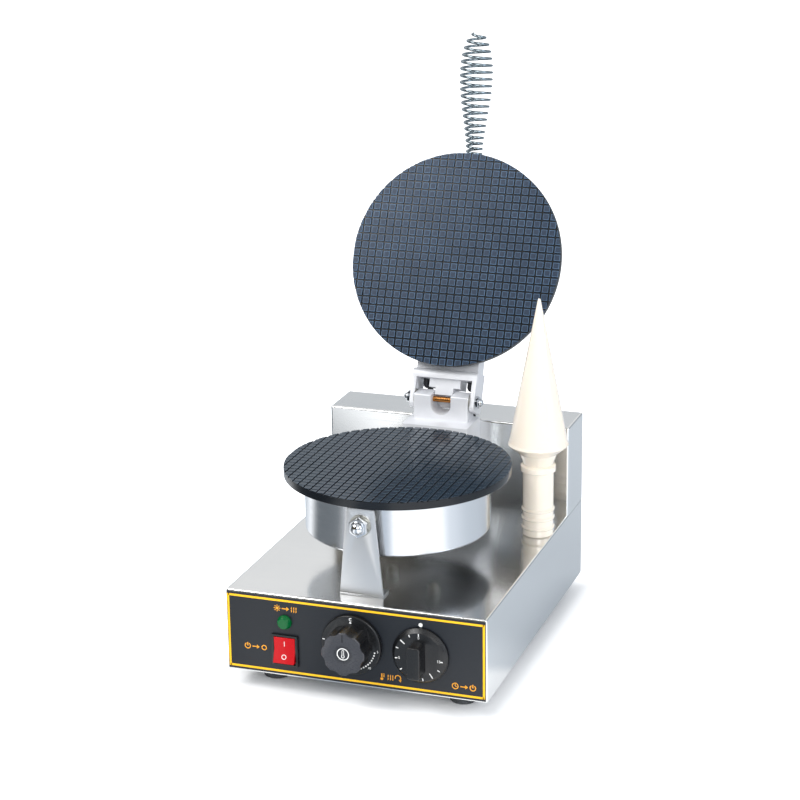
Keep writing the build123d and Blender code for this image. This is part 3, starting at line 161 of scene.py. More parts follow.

# %% [markdown]
# ## Floor and light
# Stainless steel and chrome show the room, not themselves. The camera sees a white room,
# and so does the metal, but for a few tall grey and blue cards that a photographer sets
# around the table. They put the soft upright bands on the drum and draw the turns of the
# coil. A card is a range of directions around the object, so one helper darkens the room
# and the floor alike: what stands behind the table is also mirrored in its top. Above the
# table, in front and to the left, lies the dark studio, which the box's top mirrors by way
# of the drum. The floor glows so that it reads as white paper, less in the metal than to
# the eye. The glow fades out over the last few centimetres to the box and is absent under
# it, which paints a band of shade around and under the box on top of the lamps' shadow.

# %% Cards around the table
# colour, middle and half width in degrees around the table, and softness of the edges
CARDS = [("#5a5f63", -156, 26, 12), ("#a9b1ba", -94, 14, 4), ("#cfd4d9", -4, 16, 6),
         ("#b0b8c0", 50, 20, 8)]
TABLE_CARDS = CARDS + [("#bcc2c8", 80, 80, 14)]


def carded(tree, ground, x, y, cards):
    """The ground colour with the cards' colours over it, for a direction x, y."""
    around = maths(tree, "ARCTAN2", y, x)
    for colour, middle, half, soft in cards:
        turned = maths(tree, "SUBTRACT", around, math.radians(middle))
        limits = [math.cos(math.radians(half + edge)) for edge in (soft, -soft)]
        amount = faded(tree, maths(tree, "COSINE", turned), limits)
        ground = mixed(tree, amount, ground, paint(colour))
    return ground


# %% World
WORLD_WHITE = paint("#ffffff")
TENT_LOW = paint("#8b9096")
TENT_HIGH = paint("#f2f5f8")
TENT_STRENGTH = 0.95
STUDIO_DARK = paint("#5e5443")
BACKDROP_LOW = paint("#c3c9cf")
# the limits below are parts of a direction of length 1: X right, Y back, Z up
TENT_RISE = (-0.05, 0.6)
BACKDROP_RISE = (0.305, 0.36)
STUDIO_LIMITS = {"forward": (0.0, 0.45), "leftward": (0.2, -0.1), "over_table": (0.02, 0.14),
                 "under_lamps": (0.8, 0.6)}


def shown_plainly(tree):
    """1 for a ray from the camera, or one that a metal or a glass sends on."""
    ray = add(tree, "ShaderNodeLightPath").outputs
    bright = maths(tree, "MAXIMUM", ray["Is Camera Ray"], ray["Is Glossy Ray"])
    return maths(tree, "MAXIMUM", bright, ray["Is Transmission Ray"]), ray


world = bpy.data.worlds.new("studio")
bpy.context.scene.world = world
world.use_nodes = True
tree = world.node_tree
tree.nodes.clear()
aim = add(tree, "ShaderNodeTexCoord").outputs["Generated"]
aims = add(tree, "ShaderNodeSeparateXYZ", {0: aim}).outputs
ways = {"forward": maths(tree, "MULTIPLY", aims["Y"], -1.0), "leftward": aims["X"],
        "over_table": aims["Z"], "under_lamps": aims["Z"]}
studio = 1.0
for way, limits in STUDIO_LIMITS.items():
    studio = maths(tree, "MULTIPLY", studio, faded(tree, ways[way], limits))
tent = mixed(tree, faded(tree, aims["Z"], TENT_RISE, "LINEAR"), TENT_LOW, TENT_HIGH)
shown, ray = shown_plainly(tree)
lift = faded(tree, aims["Z"], BACKDROP_RISE, "LINEAR")
backdrop = mixed(tree, lift, BACKDROP_LOW, WORLD_WHITE)
cards = carded(tree, backdrop, aims["X"], aims["Y"], CARDS)
cards = mixed(tree, studio, cards, STUDIO_DARK)
room = mixed(tree, ray["Is Glossy Ray"], WORLD_WHITE, cards)
lighting = add(tree, "ShaderNodeBackground", {0: tent, 1: TENT_STRENGTH})
seen = add(tree, "ShaderNodeBackground", {0: room, 1: 1.0})
mix = add(tree, "ShaderNodeMixShader", {0: shown, 1: lighting.outputs[0],
                                        2: seen.outputs[0]})
add(tree, "ShaderNodeOutputWorld", {0: mix.outputs[0]})

# %% Lamps
def soft_lamp(name, place, aim_at, size, power, colour="#ffffff"):
    light = bpy.data.lights.new(name, "AREA")
    light.shape = "RECTANGLE"
    light.size, light.size_y = size
    light.energy = power
    light.color = paint(colour)[:3]
    lamp = bpy.data.objects.new(name, light)
    lamp.location = place
    aim = Vector(aim_at) - Vector(place)
    lamp.rotation_euler = aim.to_track_quat("-Z", "Y").to_euler()
    bpy.context.scene.collection.objects.link(lamp)


soft_lamp("key_box", (-1.1, -1.0, 1.7), (0, 0, 0.2), (1.2, 1.0), 26)
soft_lamp("right_panel", (1.8, -0.3, 0.9), (0, 0, 0.15), (0.7, 1.4), 10, "#eaf2ff")
soft_lamp("front_fill", (1.0, -1.9, 1.2), (0, 0, 0.2), (1.0, 0.8), 16)

# %% Floor
FLOOR_SIZE = 12.0
GLOW = 0.8
GLOW_IN_METAL = 0.3
PAINTED_SHADE_BAND_M = 0.04
BOX_HALF = (0.123, 0.161, 1.0)

half = FLOOR_SIZE / 2
floor_mesh = bpy.data.meshes.new("floor")
corners = [(-half, -half, 0), (half, -half, 0), (half, half, 0), (-half, half, 0)]
floor_mesh.from_pydata(corners, [], [(0, 1, 2, 3)])
floor = bpy.data.objects.new("floor", floor_mesh)
bpy.context.scene.collection.objects.link(floor)
material, tree, shader, place = finish_of("white_paper_floor", "#fbfbfb", 0.0, 0.9)
spot = add(tree, "ShaderNodeSeparateXYZ", {0: place}).outputs
shown, ray = shown_plainly(tree)
cards = carded(tree, WORLD_WHITE, spot["X"], spot["Y"], TABLE_CARDS)
paper = mixed(tree, ray["Is Glossy Ray"], WORLD_WHITE, cards)
folded = add(tree, "ShaderNodeVectorMath", {0: place}, operation="ABSOLUTE").outputs[0]
past = add(tree, "ShaderNodeVectorMath", {0: folded, 1: BOX_HALF},
           operation="SUBTRACT").outputs[0]
past = add(tree, "ShaderNodeVectorMath", {0: past, 1: (0, 0, 0)},
           operation="MAXIMUM").outputs[0]
away = add(tree, "ShaderNodeVectorMath", {0: past}, operation="LENGTH").outputs["Value"]
# painted shade: the glow is zero at the box's footprint and full only a few centimetres away, so
# the floor is darker in a band around and under the box
glow = add(tree, "ShaderNodeMapRange", {0: away, 2: PAINTED_SHADE_BAND_M, 4: GLOW}).outputs[0]
share = add(tree, "ShaderNodeMix", {0: ray["Is Glossy Ray"], 2: shown,
                                    3: GLOW_IN_METAL}).outputs[0]
glow = maths(tree, "MULTIPLY", share, glow)
for socket in ("Base Color", "Emission Color"):
    tree.links.new(paper, shader.inputs[socket])
tree.links.new(glow, shader.inputs["Emission Strength"])
floor_mesh.materials.append(material)
print("cards around the table:", len(TABLE_CARDS))

# %% [markdown]
# ## Stainless sheet
# The box and the housing are folded from stainless steel sheet, ground with a belt so that
# fine lines run along the sheet. A stretched noise makes such lines: its scale is fine
# across the grain and coarse along it. Faces that look sideways are ground front to back,
# so the two directions are blended by the surface normal.

# %% Belt-ground stainless sheet
GRAIN_ACROSS_MM = 0.35
GRAIN_ALONG_MM = 40.0
DENT_DEPTH = 0.02 * MM
CLOUD_SCALE = 9.0
CLOUD_AND_LINES = (0.7, 1.3)


def grain_scale(along):
    across = 1 / (GRAIN_ACROSS_MM * MM)
    return [1 / (GRAIN_ALONG_MM * MM) if axis == along else across for axis in "XYZ"]


def ground_lines(tree, place, along):
    stretched = add(tree, "ShaderNodeMapping", {"Vector": place, "Scale": grain_scale(along)})
    return add(tree, "ShaderNodeTexNoise", {"Vector": stretched.outputs[0], "Scale": 1.0,
                                            "Detail": 2.0}).outputs["Fac"]


def surface(tree, shader, worn, limits, rough, height, bump, depth):
    """Roughness that follows how worn a spot is, and dents that follow a height."""
    spread = add(tree, "ShaderNodeMapRange", {0: worn, 1: limits[0], 2: limits[1], 3: rough[0],
                                              4: rough[1]})
    tree.links.new(spread.outputs[0], shader.inputs["Roughness"])
    dent = add(tree, "ShaderNodeBump", {"Strength": bump, "Distance": depth, "Height": height})
    tree.links.new(dent.outputs[0], shader.inputs["Normal"])


def sheet_steel(name, colour, rough_low, rough_high, bump):
    material, tree, shader, place = finish_of(name, colour, 1.0, rough_low)
    normal = add(tree, "ShaderNodeNewGeometry").outputs["Normal"]
    sideways = add(tree, "ShaderNodeSeparateXYZ", {0: normal}).outputs["X"]
    amount = maths(tree, "ABSOLUTE", sideways)
    lines = add(tree, "ShaderNodeMix", {0: amount, 2: ground_lines(tree, place, "X"),
                                        3: ground_lines(tree, place, "Y")}).outputs[0]
    cloud = add(tree, "ShaderNodeTexNoise", {"Vector": place, "Scale": CLOUD_SCALE})
    both = maths(tree, "ADD", lines, cloud.outputs["Fac"])
    surface(tree, shader, both, CLOUD_AND_LINES, (rough_low, rough_high), lines, bump,
            DENT_DEPTH)
    return material


box_steel = sheet_steel("belt_ground_stainless", "#e2e3e3", 0.10, 0.22, 0.2)
bracket_steel = sheet_steel("matt_ground_stainless", "#d4d5d6", 0.30, 0.42, 0.3)
print("grain lines:", GRAIN_ACROSS_MM, "mm apart")

# %% [markdown]
# ## Drum steel
# The drums are cups of thin stainless sheet, polished while they turned, so their lines
# run around them. The lower drum stands upright and the upper one leans with the lid, so
# the same lines are turned by the lid's angle.

# %% Turned steel of the drums
STRIP_ROUGH = (0.13, 0.26)
STRIP_BUMP = 0.3
LINE_LIMITS = (0.35, 0.65)

lid_joint = next(j for j in frame["joints"] if j["name"] == "lid_hinge")
LID_SWING = math.radians(lid_joint["range_deg"][1])
HINGE = Vector(lid_joint["pos_m"])


def strip_steel(name, lean):
    material, tree, shader, place = finish_of(name, "#d6d8db", 1.0, 0.2)
    upright = add(tree, "ShaderNodeMapping", {"Vector": place, "Rotation": (lean, 0, 0)})
    across = 1 / (GRAIN_ACROSS_MM * MM)
    around = 1 / (GRAIN_ALONG_MM * MM)
    lines = add(tree, "ShaderNodeMapping", {"Vector": upright.outputs[0],
                                            "Scale": (around, around, across)})
    noise = add(tree, "ShaderNodeTexNoise", {"Vector": lines.outputs[0], "Scale": 1.0,
                                             "Detail": 2.0}).outputs["Fac"]
    surface(tree, shader, noise, LINE_LIMITS, STRIP_ROUGH, noise, STRIP_BUMP, DENT_DEPTH)
    return material


lower_strip = strip_steel("polished_drum_strip", 0.0)
upper_strip = strip_steel("polished_drum_strip_of_lid", LID_SWING)

# %% [markdown]
# ## Castings, coatings and small metals
# The plates are cast iron under a dark non-stick coat, with a slight orange-peel. The hinge
# is sand-cast aluminium, matte and a little rough. Nuts are chromed and the coil is
# nickelled, screws and heater parts are zinc plated or heat-tinted, and the pin is worn
# bronze.

# %% A finish with a fine grain
GRAIN_LIMITS = (0.3, 0.7)
GRAIN_BUMP = 0.6
MOTTLE_SCALE = 35.0
PLATE_COAT = "#172a39"
# the lid plate's coat is the same coat as the lower plate's, painted bluer as a stand-in for how
# the upper plate is lit
LID_COAT = "#11283f"


def mottle(tree, place):
    """A soft cloud from 0 to 1, for wear that comes in patches."""
    return add(tree, "ShaderNodeTexNoise", {"Vector": place, "Scale": MOTTLE_SCALE,
                                            "Detail": 4.0}).outputs["Fac"]


def grained(name, colour, metallic, rough_low, rough_high, grain_mm, depth_mm, mottled=None):
    material, tree, shader, place = finish_of(name, colour, metallic, rough_low)
    grain = add(tree, "ShaderNodeTexNoise", {"Vector": place, "Scale": 1 / (grain_mm * MM),
                                             "Detail": 3.0}).outputs["Fac"]
    surface(tree, shader, grain, GRAIN_LIMITS, (rough_low, rough_high), grain, GRAIN_BUMP,
            depth_mm * MM)
    if mottled:
        tint = mixed(tree, mottle(tree, place), paint(colour), paint(mottled))
        tree.links.new(tint, shader.inputs["Base Color"])
    return material, shader


plate_coat, _ = grained("non_stick_coated_iron", PLATE_COAT, 0.3, 0.15, 0.26, 0.9, 0.03)
lid_coat, _ = grained("non_stick_coated_iron_of_lid", LID_COAT, 0.1, 0.3, 0.42, 0.9, 0.03)
cast_metal, _ = grained("sand_cast_aluminium", "#f0f1f3", 0.35, 0.42, 0.6, 0.8, 0.05,
                        "#d6d7dc")
chrome, _ = grained("bright_chrome", "#cfd2d6", 1.0, 0.06, 0.12, 6.0, 0.002)
spring_steel, _ = grained("nickelled_spring_wire", "#8d999f", 1.0, 0.12, 0.2, 6.0, 0.002)
zinc, _ = grained("zinc_plated_steel", "#b9b8b2", 1.0, 0.25, 0.4, 2.0, 0.01, "#a8a69c")
bronze, _ = grained("worn_bronze", "#c98a4a", 1.0, 0.22, 0.4, 1.5, 0.01, "#8f5f35")
hot_steel, _ = grained("heat_tinted_steel", "#5c5048", 1.0, 0.35, 0.55, 3.0, 0.01, "#3d3c44")

# %% [markdown]
# ## Plastics, rubber and ceramics
# The overlay is a printed polycarbonate sheet with a fine matte tooth. Knobs and switch
# body are satin black moulded plastic. The rocker and the lamp lens are clear coloured
# plastic that lets a little light through, but their finishes here are opaque and glossy;
# the former is smooth ivory plastic with a waxy depth, which subsurface scattering gives.

# %% Plastics, rubber and ceramics
overlay, _ = grained("printed_overlay", "#10161e", 0.0, 0.42, 0.5, 0.5, 0.006)
black_plastic, _ = grained("satin_black_plastic", "#101113", 0.0, 0.24, 0.36, 0.7, 0.006)
rocker_red, shader = grained("clear_red_plastic", "#bd0612", 0.0, 0.18, 0.24, 3.0, 0.002)
shader.inputs["Specular IOR Level"].default_value = 0.25
lamp_green, shader = grained("clear_green_plastic", "#005c2c", 0.0, 0.06, 0.1, 3.0, 0.002)
shader.inputs["Specular IOR Level"].default_value = 0.3
ivory, shader = grained("ivory_plastic", "#f4e9d9", 0.0, 0.12, 0.16, 30.0, 0.001)
shader.inputs["Subsurface Weight"].default_value = 0.15
shader.inputs["Subsurface Radius"].default_value = (0.004, 0.003, 0.002)
shader.inputs["Coat Weight"].default_value = 0.5
shader.inputs["Coat Roughness"].default_value = 0.08
rubber, _ = grained("black_rubber", "#494c4e", 0.0, 0.6, 0.75, 0.6, 0.03)
wool, _ = grained("ceramic_wool", "#e6e2d6", 0.0, 0.9, 1.0, 1.2, 0.3, "#d9d3c2")
steatite, _ = grained("steatite_ceramic", "#e4e0d4", 0.0, 0.35, 0.5, 1.0, 0.02)
white_ink, _ = grained("white_printing_ink", "#f2f2f0", 0.0, 0.45, 0.55, 0.5, 0.002)
yellow_ink, _ = grained("yellow_printing_ink", "#ffc400", 0.0, 0.45, 0.55, 0.5, 0.002)
groove_shade_ink, _ = grained("painted_groove_shade", "#0c0c0e", 0.0, 0.3, 0.4, 0.5, 0.002)
orange_ink, _ = grained("orange_printing_ink", "#f2a31a", 0.0, 0.45, 0.55, 0.5, 0.002)
print("materials:", len(bpy.data.materials))

# %% Knob whose black turns lighter grey towards its front face
FACE_DEPTH = 2.0 * MM
KNOB_BLACK = "#101113"
KNOB_FRONT_GREY = "#3a3b40"

knob_black, shader = grained("black_plastic_grey_front", KNOB_BLACK, 0.0, 0.24, 0.36, 0.7, 0.006)
tree = knob_black.node_tree
place = add(tree, "ShaderNodeTexCoord").outputs["Object"]
forward = add(tree, "ShaderNodeSeparateXYZ", {0: place}).outputs["Y"]
face_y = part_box("thermostat_knob")[0].y
# the black turns lighter grey over the last two millimetres to the front face
amount = faded(tree, forward, (face_y + FACE_DEPTH, face_y + FACE_DEPTH / 4), "LINEAR")
tint = mixed(tree, amount, paint(KNOB_BLACK), paint(KNOB_FRONT_GREY))
tree.links.new(tint, shader.inputs["Base Color"])

# %% Woven glass sleeve of the heater leads
BRAID_MM = 0.9

material, tree, shader, place = finish_of("woven_glass_sleeve", "#1b1c20", 0.0, 0.55)
scaled = add(tree, "ShaderNodeMapping", {"Vector": place, "Scale": [1 / (BRAID_MM * MM)] * 3})
weave = add(tree, "ShaderNodeTexChecker", {"Vector": scaled.outputs[0], "Scale": 1.0,
                                           "Color1": paint("#15161a"),
                                           "Color2": paint("#2d2f36")})
tree.links.new(weave.outputs["Color"], shader.inputs["Base Color"])
dent = add(tree, "ShaderNodeBump", {"Strength": 0.5, "Distance": 0.0002,
                                    "Height": weave.outputs["Fac"]})
tree.links.new(dent.outputs[0], shader.inputs["Normal"])
lead_sleeve = material

# %% Give every solid its finish
FINISH_OF_SLOT = {
    "brushed_stainless": box_steel, "polished_stainless": lower_strip,
    "coated_plate": plate_coat, "cast_aluminium": cast_metal, "chrome": chrome,
    "zinc_steel": zinc, "pin_bronze": bronze, "panel_overlay": overlay,
    "black_plastic": black_plastic, "red_rocker": rocker_red, "green_lens": lamp_green,
    "cone_plastic": ivory, "foot_rubber": rubber, "heater_steel": hot_steel,
    "ceramic_wool": wool, "terminal_ceramic": steatite, "sleeve_fabric": lead_sleeve,
}
SLOT_OF_NODE = {s["node"]: s["material_slot"] for s in frame["record"]["subparts"]}


def dress(piece, finish):
    piece.data.materials.clear()
    piece.data.materials.append(finish)


for name, solid in frame["nodes"].items():
    dress(solid, FINISH_OF_SLOT[SLOT_OF_NODE[name]])
dress(frame["nodes"]["upper_drum"], upper_strip)
dress(frame["nodes"]["support_bracket"], bracket_steel)
dress(frame["nodes"]["thermostat_knob"], knob_black)
print("dressed:", len(frame["nodes"]))

# %% [markdown]
# ## Soft edges
# No casting, moulding or folded sheet has a knife edge: a thin line of light runs along
# every corner. Solids come as loose triangles with sharp edges, so a copy of each of the
# solids listed below is welded and bevelled, and stands for the solid. The bevel cuts into
# the edge only, so the size stays.

# %% Copy a solid with softened edges
WELD = 0.002 * MM
FLAT_DEG = 1.0
SHARP_DEG = 40


def keep(mesh, name, body, finish):
    mesh.name = name
    piece = bpy.data.objects.new(name, mesh)
    bpy.context.scene.collection.objects.link(piece)
    dress(piece, finish)
    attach(piece, body)
    return piece


def plain(piece, name):
    """The evaluated shape of a piece as a mesh of its own; the piece itself goes."""
    graph = bpy.context.evaluated_depsgraph_get()
    mesh = bpy.data.meshes.new_from_object(piece.evaluated_get(graph), depsgraph=graph)
    bpy.data.objects.remove(piece)
    mesh.name = name
    return mesh


def softened(node, width_mm, steps=2, angle=35):
    solid = frame["nodes"][node]
    finish = solid.data.materials[0]
    shell = bmesh.new()
    shell.from_mesh(solid.data)
    bmesh.ops.remove_doubles(shell, verts=shell.verts, dist=WELD)
    bmesh.ops.dissolve_limit(shell, angle_limit=math.radians(FLAT_DEG), verts=shell.verts,
                             edges=shell.edges)
    mesh = bpy.data.meshes.new(node + "_edges")
    shell.to_mesh(mesh)
    shell.free()
    piece = bpy.data.objects.new(node + "_edges", mesh)
    bpy.context.scene.collection.objects.link(piece)
    bevel = piece.modifiers.new("edge", "BEVEL")
    bevel.width = width_mm * MM
    bevel.segments = steps
    bevel.limit_method = "ANGLE"
    bevel.angle_limit = math.radians(angle)
    mesh = plain(piece, node + "_edges")
    mesh.shade_smooth()
    mesh.set_sharp_from_angle(angle=math.radians(SHARP_DEG))
    made = keep(mesh, node + "_softened", solid["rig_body"], finish)
    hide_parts(node)
    return made


EDGES_MM = {
    "hinge_post": 0.9, "hinge_frame": 0.9, "support_bracket": 0.35,
    "switch_body": 0.4, "switch_rocker": 0.5, "timer_knob": 0.35, "thermostat_knob": 0.3,
    "bracket_acorn_nut": 0.35, "hinge_acorn_nuts": 0.25, "handle_boss": 0.4,
    "cable_gland": 0.4, "terminal_block": 0.5,
}
for node, width_mm in EDGES_MM.items():
    softened(node, width_mm)
print("softened:", len(EDGES_MM))

# %% [markdown]
# ## Waffle grid of the plates
# The face of each plate is milled with straight grooves in both directions, which leaves
# some six hundred small pads with sloping sides. One pad is a four-sided frustum, and
# Geometry Nodes set it on a grid of points and cut the field to the round of the plate.
# The disc under the pads is turned from a profile, with the soft edge of a casting. The coat
# lightens the rims of the pads in patches, partly wear from batter and scraper and partly a
# painted highlight along the pad edges, and darkens the grooves with painted shade; it works
# both out from the same pitch.

# %% Geometry Nodes tree: pads on a round field
def new_tree(name, sizes):
    tree = bpy.data.node_groups.new(name, "GeometryNodeTree")
    tree.interface.new_socket("Geometry", in_out="INPUT", socket_type="NodeSocketGeometry")
    for label, kind, value in sizes:
        socket = tree.interface.new_socket(label, in_out="INPUT", socket_type=kind)
        if value is not None:
            socket.default_value = value
    tree.interface.new_socket("Geometry", in_out="OUTPUT", socket_type="NodeSocketGeometry")
    start = tree.nodes.new("NodeGroupInput")
    return tree, start.outputs


def run_tree(piece, tree, values):
    modifier = piece.modifiers.new(tree.name, "NODES")
    modifier.node_group = tree
    names = {item.name: item.identifier for item in tree.interface.items_tree
             if item.in_out == "INPUT"}
    for label, value in values.items():
        modifier[names[label]] = value
    return plain(piece, piece.name)


pads, size = new_tree("waffle_pads", [
    ("Radius", "NodeSocketFloat", 0.1), ("Pitch", "NodeSocketFloat", 0.0078),
    ("Pad top", "NodeSocketFloat", 0.005), ("Pad foot", "NodeSocketFloat", 0.006),
    ("Height", "NodeSocketFloat", 0.001), ("Rows", "NodeSocketInt", 27),
    ("Finish", "NodeSocketMaterial", None)])
span = maths(pads, "MULTIPLY", maths(pads, "SUBTRACT", size["Rows"], 1.0), size["Pitch"])
field = add(pads, "GeometryNodeMeshGrid", {0: span, 1: span,
                                           2: size["Rows"], 3: size["Rows"]})
at = add(pads, "GeometryNodeInputPosition").outputs[0]
reach = add(pads, "ShaderNodeVectorMath", {0: at}, operation="LENGTH").outputs["Value"]
limit = maths(pads, "ADD", size["Radius"], size["Pitch"])
near = add(pads, "FunctionNodeCompare", {0: reach, 1: limit},
           data_type="FLOAT", operation="LESS_THAN")
HALF_DIAGONAL = math.sqrt(0.5)
top_r = maths(pads, "MULTIPLY", size["Pad top"], HALF_DIAGONAL)
foot_r = maths(pads, "MULTIPLY", size["Pad foot"], HALF_DIAGONAL)
pad = add(pads, "GeometryNodeMeshCone", {"Vertices": 4, "Radius Top": top_r,
                                         "Radius Bottom": foot_r,
                                         "Depth": size["Height"]})
pad = add(pads, "GeometryNodeTransform", {"Geometry": pad.outputs["Mesh"],
                                          "Rotation": (0, 0, math.radians(45))})
spread = add(pads, "GeometryNodeInstanceOnPoints", {"Points": field.outputs[0],
                                                    "Selection": near.outputs[0],
                                                    "Instance": pad.outputs[0]})
real = add(pads, "GeometryNodeRealizeInstances", {0: spread.outputs[0]})
depth = maths(pads, "MULTIPLY", size["Height"], 4.0)
round_cut = add(pads, "GeometryNodeMeshCylinder", {"Vertices": 160, "Radius": size["Radius"],
                                                   "Depth": depth})
cut = add(pads, "GeometryNodeMeshBoolean", {"Mesh 2": real.outputs[0]},
          operation="INTERSECT", solver="EXACT")
pads.links.new(round_cut.outputs["Mesh"], cut.inputs["Mesh 2"])
joined = add(pads, "GeometryNodeJoinGeometry", {0: size["Geometry"]})
pads.links.new(cut.outputs["Mesh"], joined.inputs[0])
coated = add(pads, "GeometryNodeSetMaterial", {"Geometry": joined.outputs[0],
                                               "Material": size["Finish"]})
add(pads, "NodeGroupOutput", {0: coated.outputs[0]})
print("pad tree:", len(pads.nodes), "nodes")

# %% A turned disc from a profile
def lathe(name, profile, steps):
    shell = bmesh.new()
    rings = []
    for radius, height in profile:
        if radius == 0:
            rings.append([shell.verts.new((0, 0, height))])
            continue
        ring = [shell.verts.new((radius * math.cos(2 * math.pi * k / steps),
                                 radius * math.sin(2 * math.pi * k / steps), height))
                for k in range(steps)]
        rings.append(ring)
    for low, high in zip(rings, rings[1:]):
        for k in range(steps):
            after = (k + 1) % steps
            corners = [low[k % len(low)], low[after % len(low)],
                       high[after % len(high)], high[k % len(high)]]
            shell.faces.new(list(dict.fromkeys(corners)))
    bmesh.ops.recalc_face_normals(shell, faces=shell.faces)
    mesh = bpy.data.meshes.new(name)
    shell.to_mesh(mesh)
    shell.free()
    return mesh


def rounded_edge(radius, height, curve, steps=4):
    """Profile points of an outer corner rounded by a quarter circle."""
    angles = [math.pi / 2 * k / steps for k in range(steps + 1)]
    return [(radius - curve + curve * math.cos(a), height - curve + curve * math.sin(a))
            for a in angles]


# %% The two plates
GRID_PITCH = 7.8 * MM
PAD_TOP = 5.9 * MM
PAD_FOOT = 6.9 * MM
GROOVE = 1.0 * MM
PLATE_EDGE = 0.8 * MM
GROOVE_EDGE = 0.15 * MM
PLATE_BEAT = 1.0 * MM
RIM_WEAR_AND_HIGHLIGHT = 0.7 * MM
RIM_SHARE = 1.8
# the dark colour of the grooves is painted shade, faded in over the depths below
GROOVE_PAINTED_SHADE = "#0b1118"
GROOVE_SHADE = (-0.05 * GROOVE, -0.4 * GROOVE)
PAD_ROWS = 29
DISC_STEPS = 180
PAD_SHARP_DEG = 30

low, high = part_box("lower_plate")
PLATE_R = (high.x - low.x) / 2
PLATE_T = high.z - low.z
plate_middle = (low + high) / 2
lower_rim = rounded_edge(PLATE_R, 0, PLATE_EDGE)
profile = [(0, -PLATE_T)]
profile += [(r, -PLATE_T - h) for r, h in reversed(lower_rim)]
profile += rounded_edge(PLATE_R, -GROOVE, GROOVE_EDGE)
profile += [(0, -GROOVE)]


def worn_and_highlit_grid(coat, plain_hex, rim_wear_and_highlight_hex, move):
    """Lightens the rims of the pads, partly wear where batter and scraper rub and partly a painted
    highlight, and darkens the grooves with painted shade.
    """
    tree = coat.node_tree
    place = add(tree, "ShaderNodeTexCoord").outputs["Object"]
    local = add(tree, "ShaderNodeMapping", {"Vector": place, "Location": move.translation,
                                            "Rotation": move.to_euler()},
                vector_type="TEXTURE").outputs[0]
    axes = add(tree, "ShaderNodeSeparateXYZ", {0: local}).outputs
    reach = [maths(tree, "PINGPONG", maths(tree, "DIVIDE", axes[axis], GRID_PITCH), 0.5)
             for axis in "XY"]
    rim = PAD_TOP / 2 / GRID_PITCH
    # the pale rim band is partly wear and partly a painted highlight along the pad edges
    worn = faded(tree, maths(tree, "MAXIMUM", *reach), (rim - RIM_WEAR_AND_HIGHLIGHT / GRID_PITCH, rim),
                 "LINEAR")
    worn = maths(tree, "MULTIPLY", worn, mottle(tree, local))
    worn = add(tree, "ShaderNodeMath", {0: worn, 1: RIM_SHARE}, operation="MULTIPLY",
               use_clamp=True).outputs[0]
    tint = mixed(tree, worn, paint(plain_hex), paint(rim_wear_and_highlight_hex))
    # painted shade: the coat turns darker towards the floor of the grooves
    groove_painted_shade = faded(tree, axes["Z"], GROOVE_SHADE, "LINEAR")
    tint = mixed(tree, groove_painted_shade, tint, paint(GROOVE_PAINTED_SHADE))
    tree.links.new(tint, tree.nodes["Principled BSDF"].inputs["Base Color"])


def waffle_plate(name, body, node, move, coat, plain_hex, rim_wear_and_highlight_hex):
    disc = bpy.data.objects.new(name, lathe(name, profile, DISC_STEPS))
    bpy.context.scene.collection.objects.link(disc)
    disc.data.transform(Matrix.Translation((0, 0, GROOVE)))
    mesh = run_tree(disc, pads, {"Radius": PLATE_R - GROOVE_EDGE / 2, "Pitch": GRID_PITCH,
                                 "Pad top": PAD_TOP, "Pad foot": PAD_FOOT,
                                 "Height": GROOVE, "Rows": PAD_ROWS, "Finish": coat})
    mesh.transform(move @ Matrix.Translation((0, 0, -GROOVE)))
    mesh.shade_smooth()
    mesh.set_sharp_from_angle(angle=math.radians(PAD_SHARP_DEG))
    worn_and_highlit_grid(coat, plain_hex, rim_wear_and_highlight_hex, move)
    made = keep(mesh, name, body, coat)
    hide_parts(node)
    return made


to_face = Matrix.Translation((plate_middle.x, plate_middle.y, high.z))
flip = Matrix.Rotation(math.pi, 4, "X")
OPEN = Matrix.Translation(HINGE) @ Matrix.Rotation(-LID_SWING, 4, "X")
OPEN = OPEN @ Matrix.Translation(-HINGE)
shut_face = Matrix.Translation((plate_middle.x, plate_middle.y, high.z + PLATE_BEAT))
# the last colour of each plate is its pale rim colour: partly wear, partly painted highlight
lower_waffle = waffle_plate("lower_waffle_plate", "base", "lower_plate", to_face,
                            plate_coat, PLATE_COAT, "#4a5866")
# the lid's bluer coat and rim colours are painted light, for how the upper plate is lit
upper_waffle = waffle_plate("upper_waffle_plate", "lid", "upper_plate",
                            OPEN @ shut_face @ flip, lid_coat, LID_COAT, "#4f6c8a")
print("plate faces:", len(lower_waffle.data.polygons), len(upper_waffle.data.polygons))

# %% [markdown]
# ## Coil handle
# The grip is a spring of nickelled wire, thickest past its middle, which stays cool because
# air moves through it. Its centre line is a rule, not a drawing: the angle grows with the
# length, and the radius swells and shrinks as a sine. Geometry Nodes move the points of a
# straight line onto that rule and give the line a round section.

# %% Geometry Nodes tree: a coil with a belly
COIL_RISE = 1.7
COIL_FALL = 0.6
FOOT_FADE = 6.0
COIL_POINTS = 700

coil, size = new_tree("belly_coil", [
    ("Length", "NodeSocketFloat", 0.12), ("Turns", "NodeSocketFloat", 20.0),
    ("Foot", "NodeSocketFloat", 0.007), ("Belly", "NodeSocketFloat", 0.015),
    ("Tip", "NodeSocketFloat", 0.004), ("Belly at", "NodeSocketFloat", 0.7),
    ("Straight", "NodeSocketFloat", 0.1), ("Foot turns", "NodeSocketFloat", 2.0),
    ("Wire", "NodeSocketFloat", 0.001), ("Finish", "NodeSocketMaterial", None)])

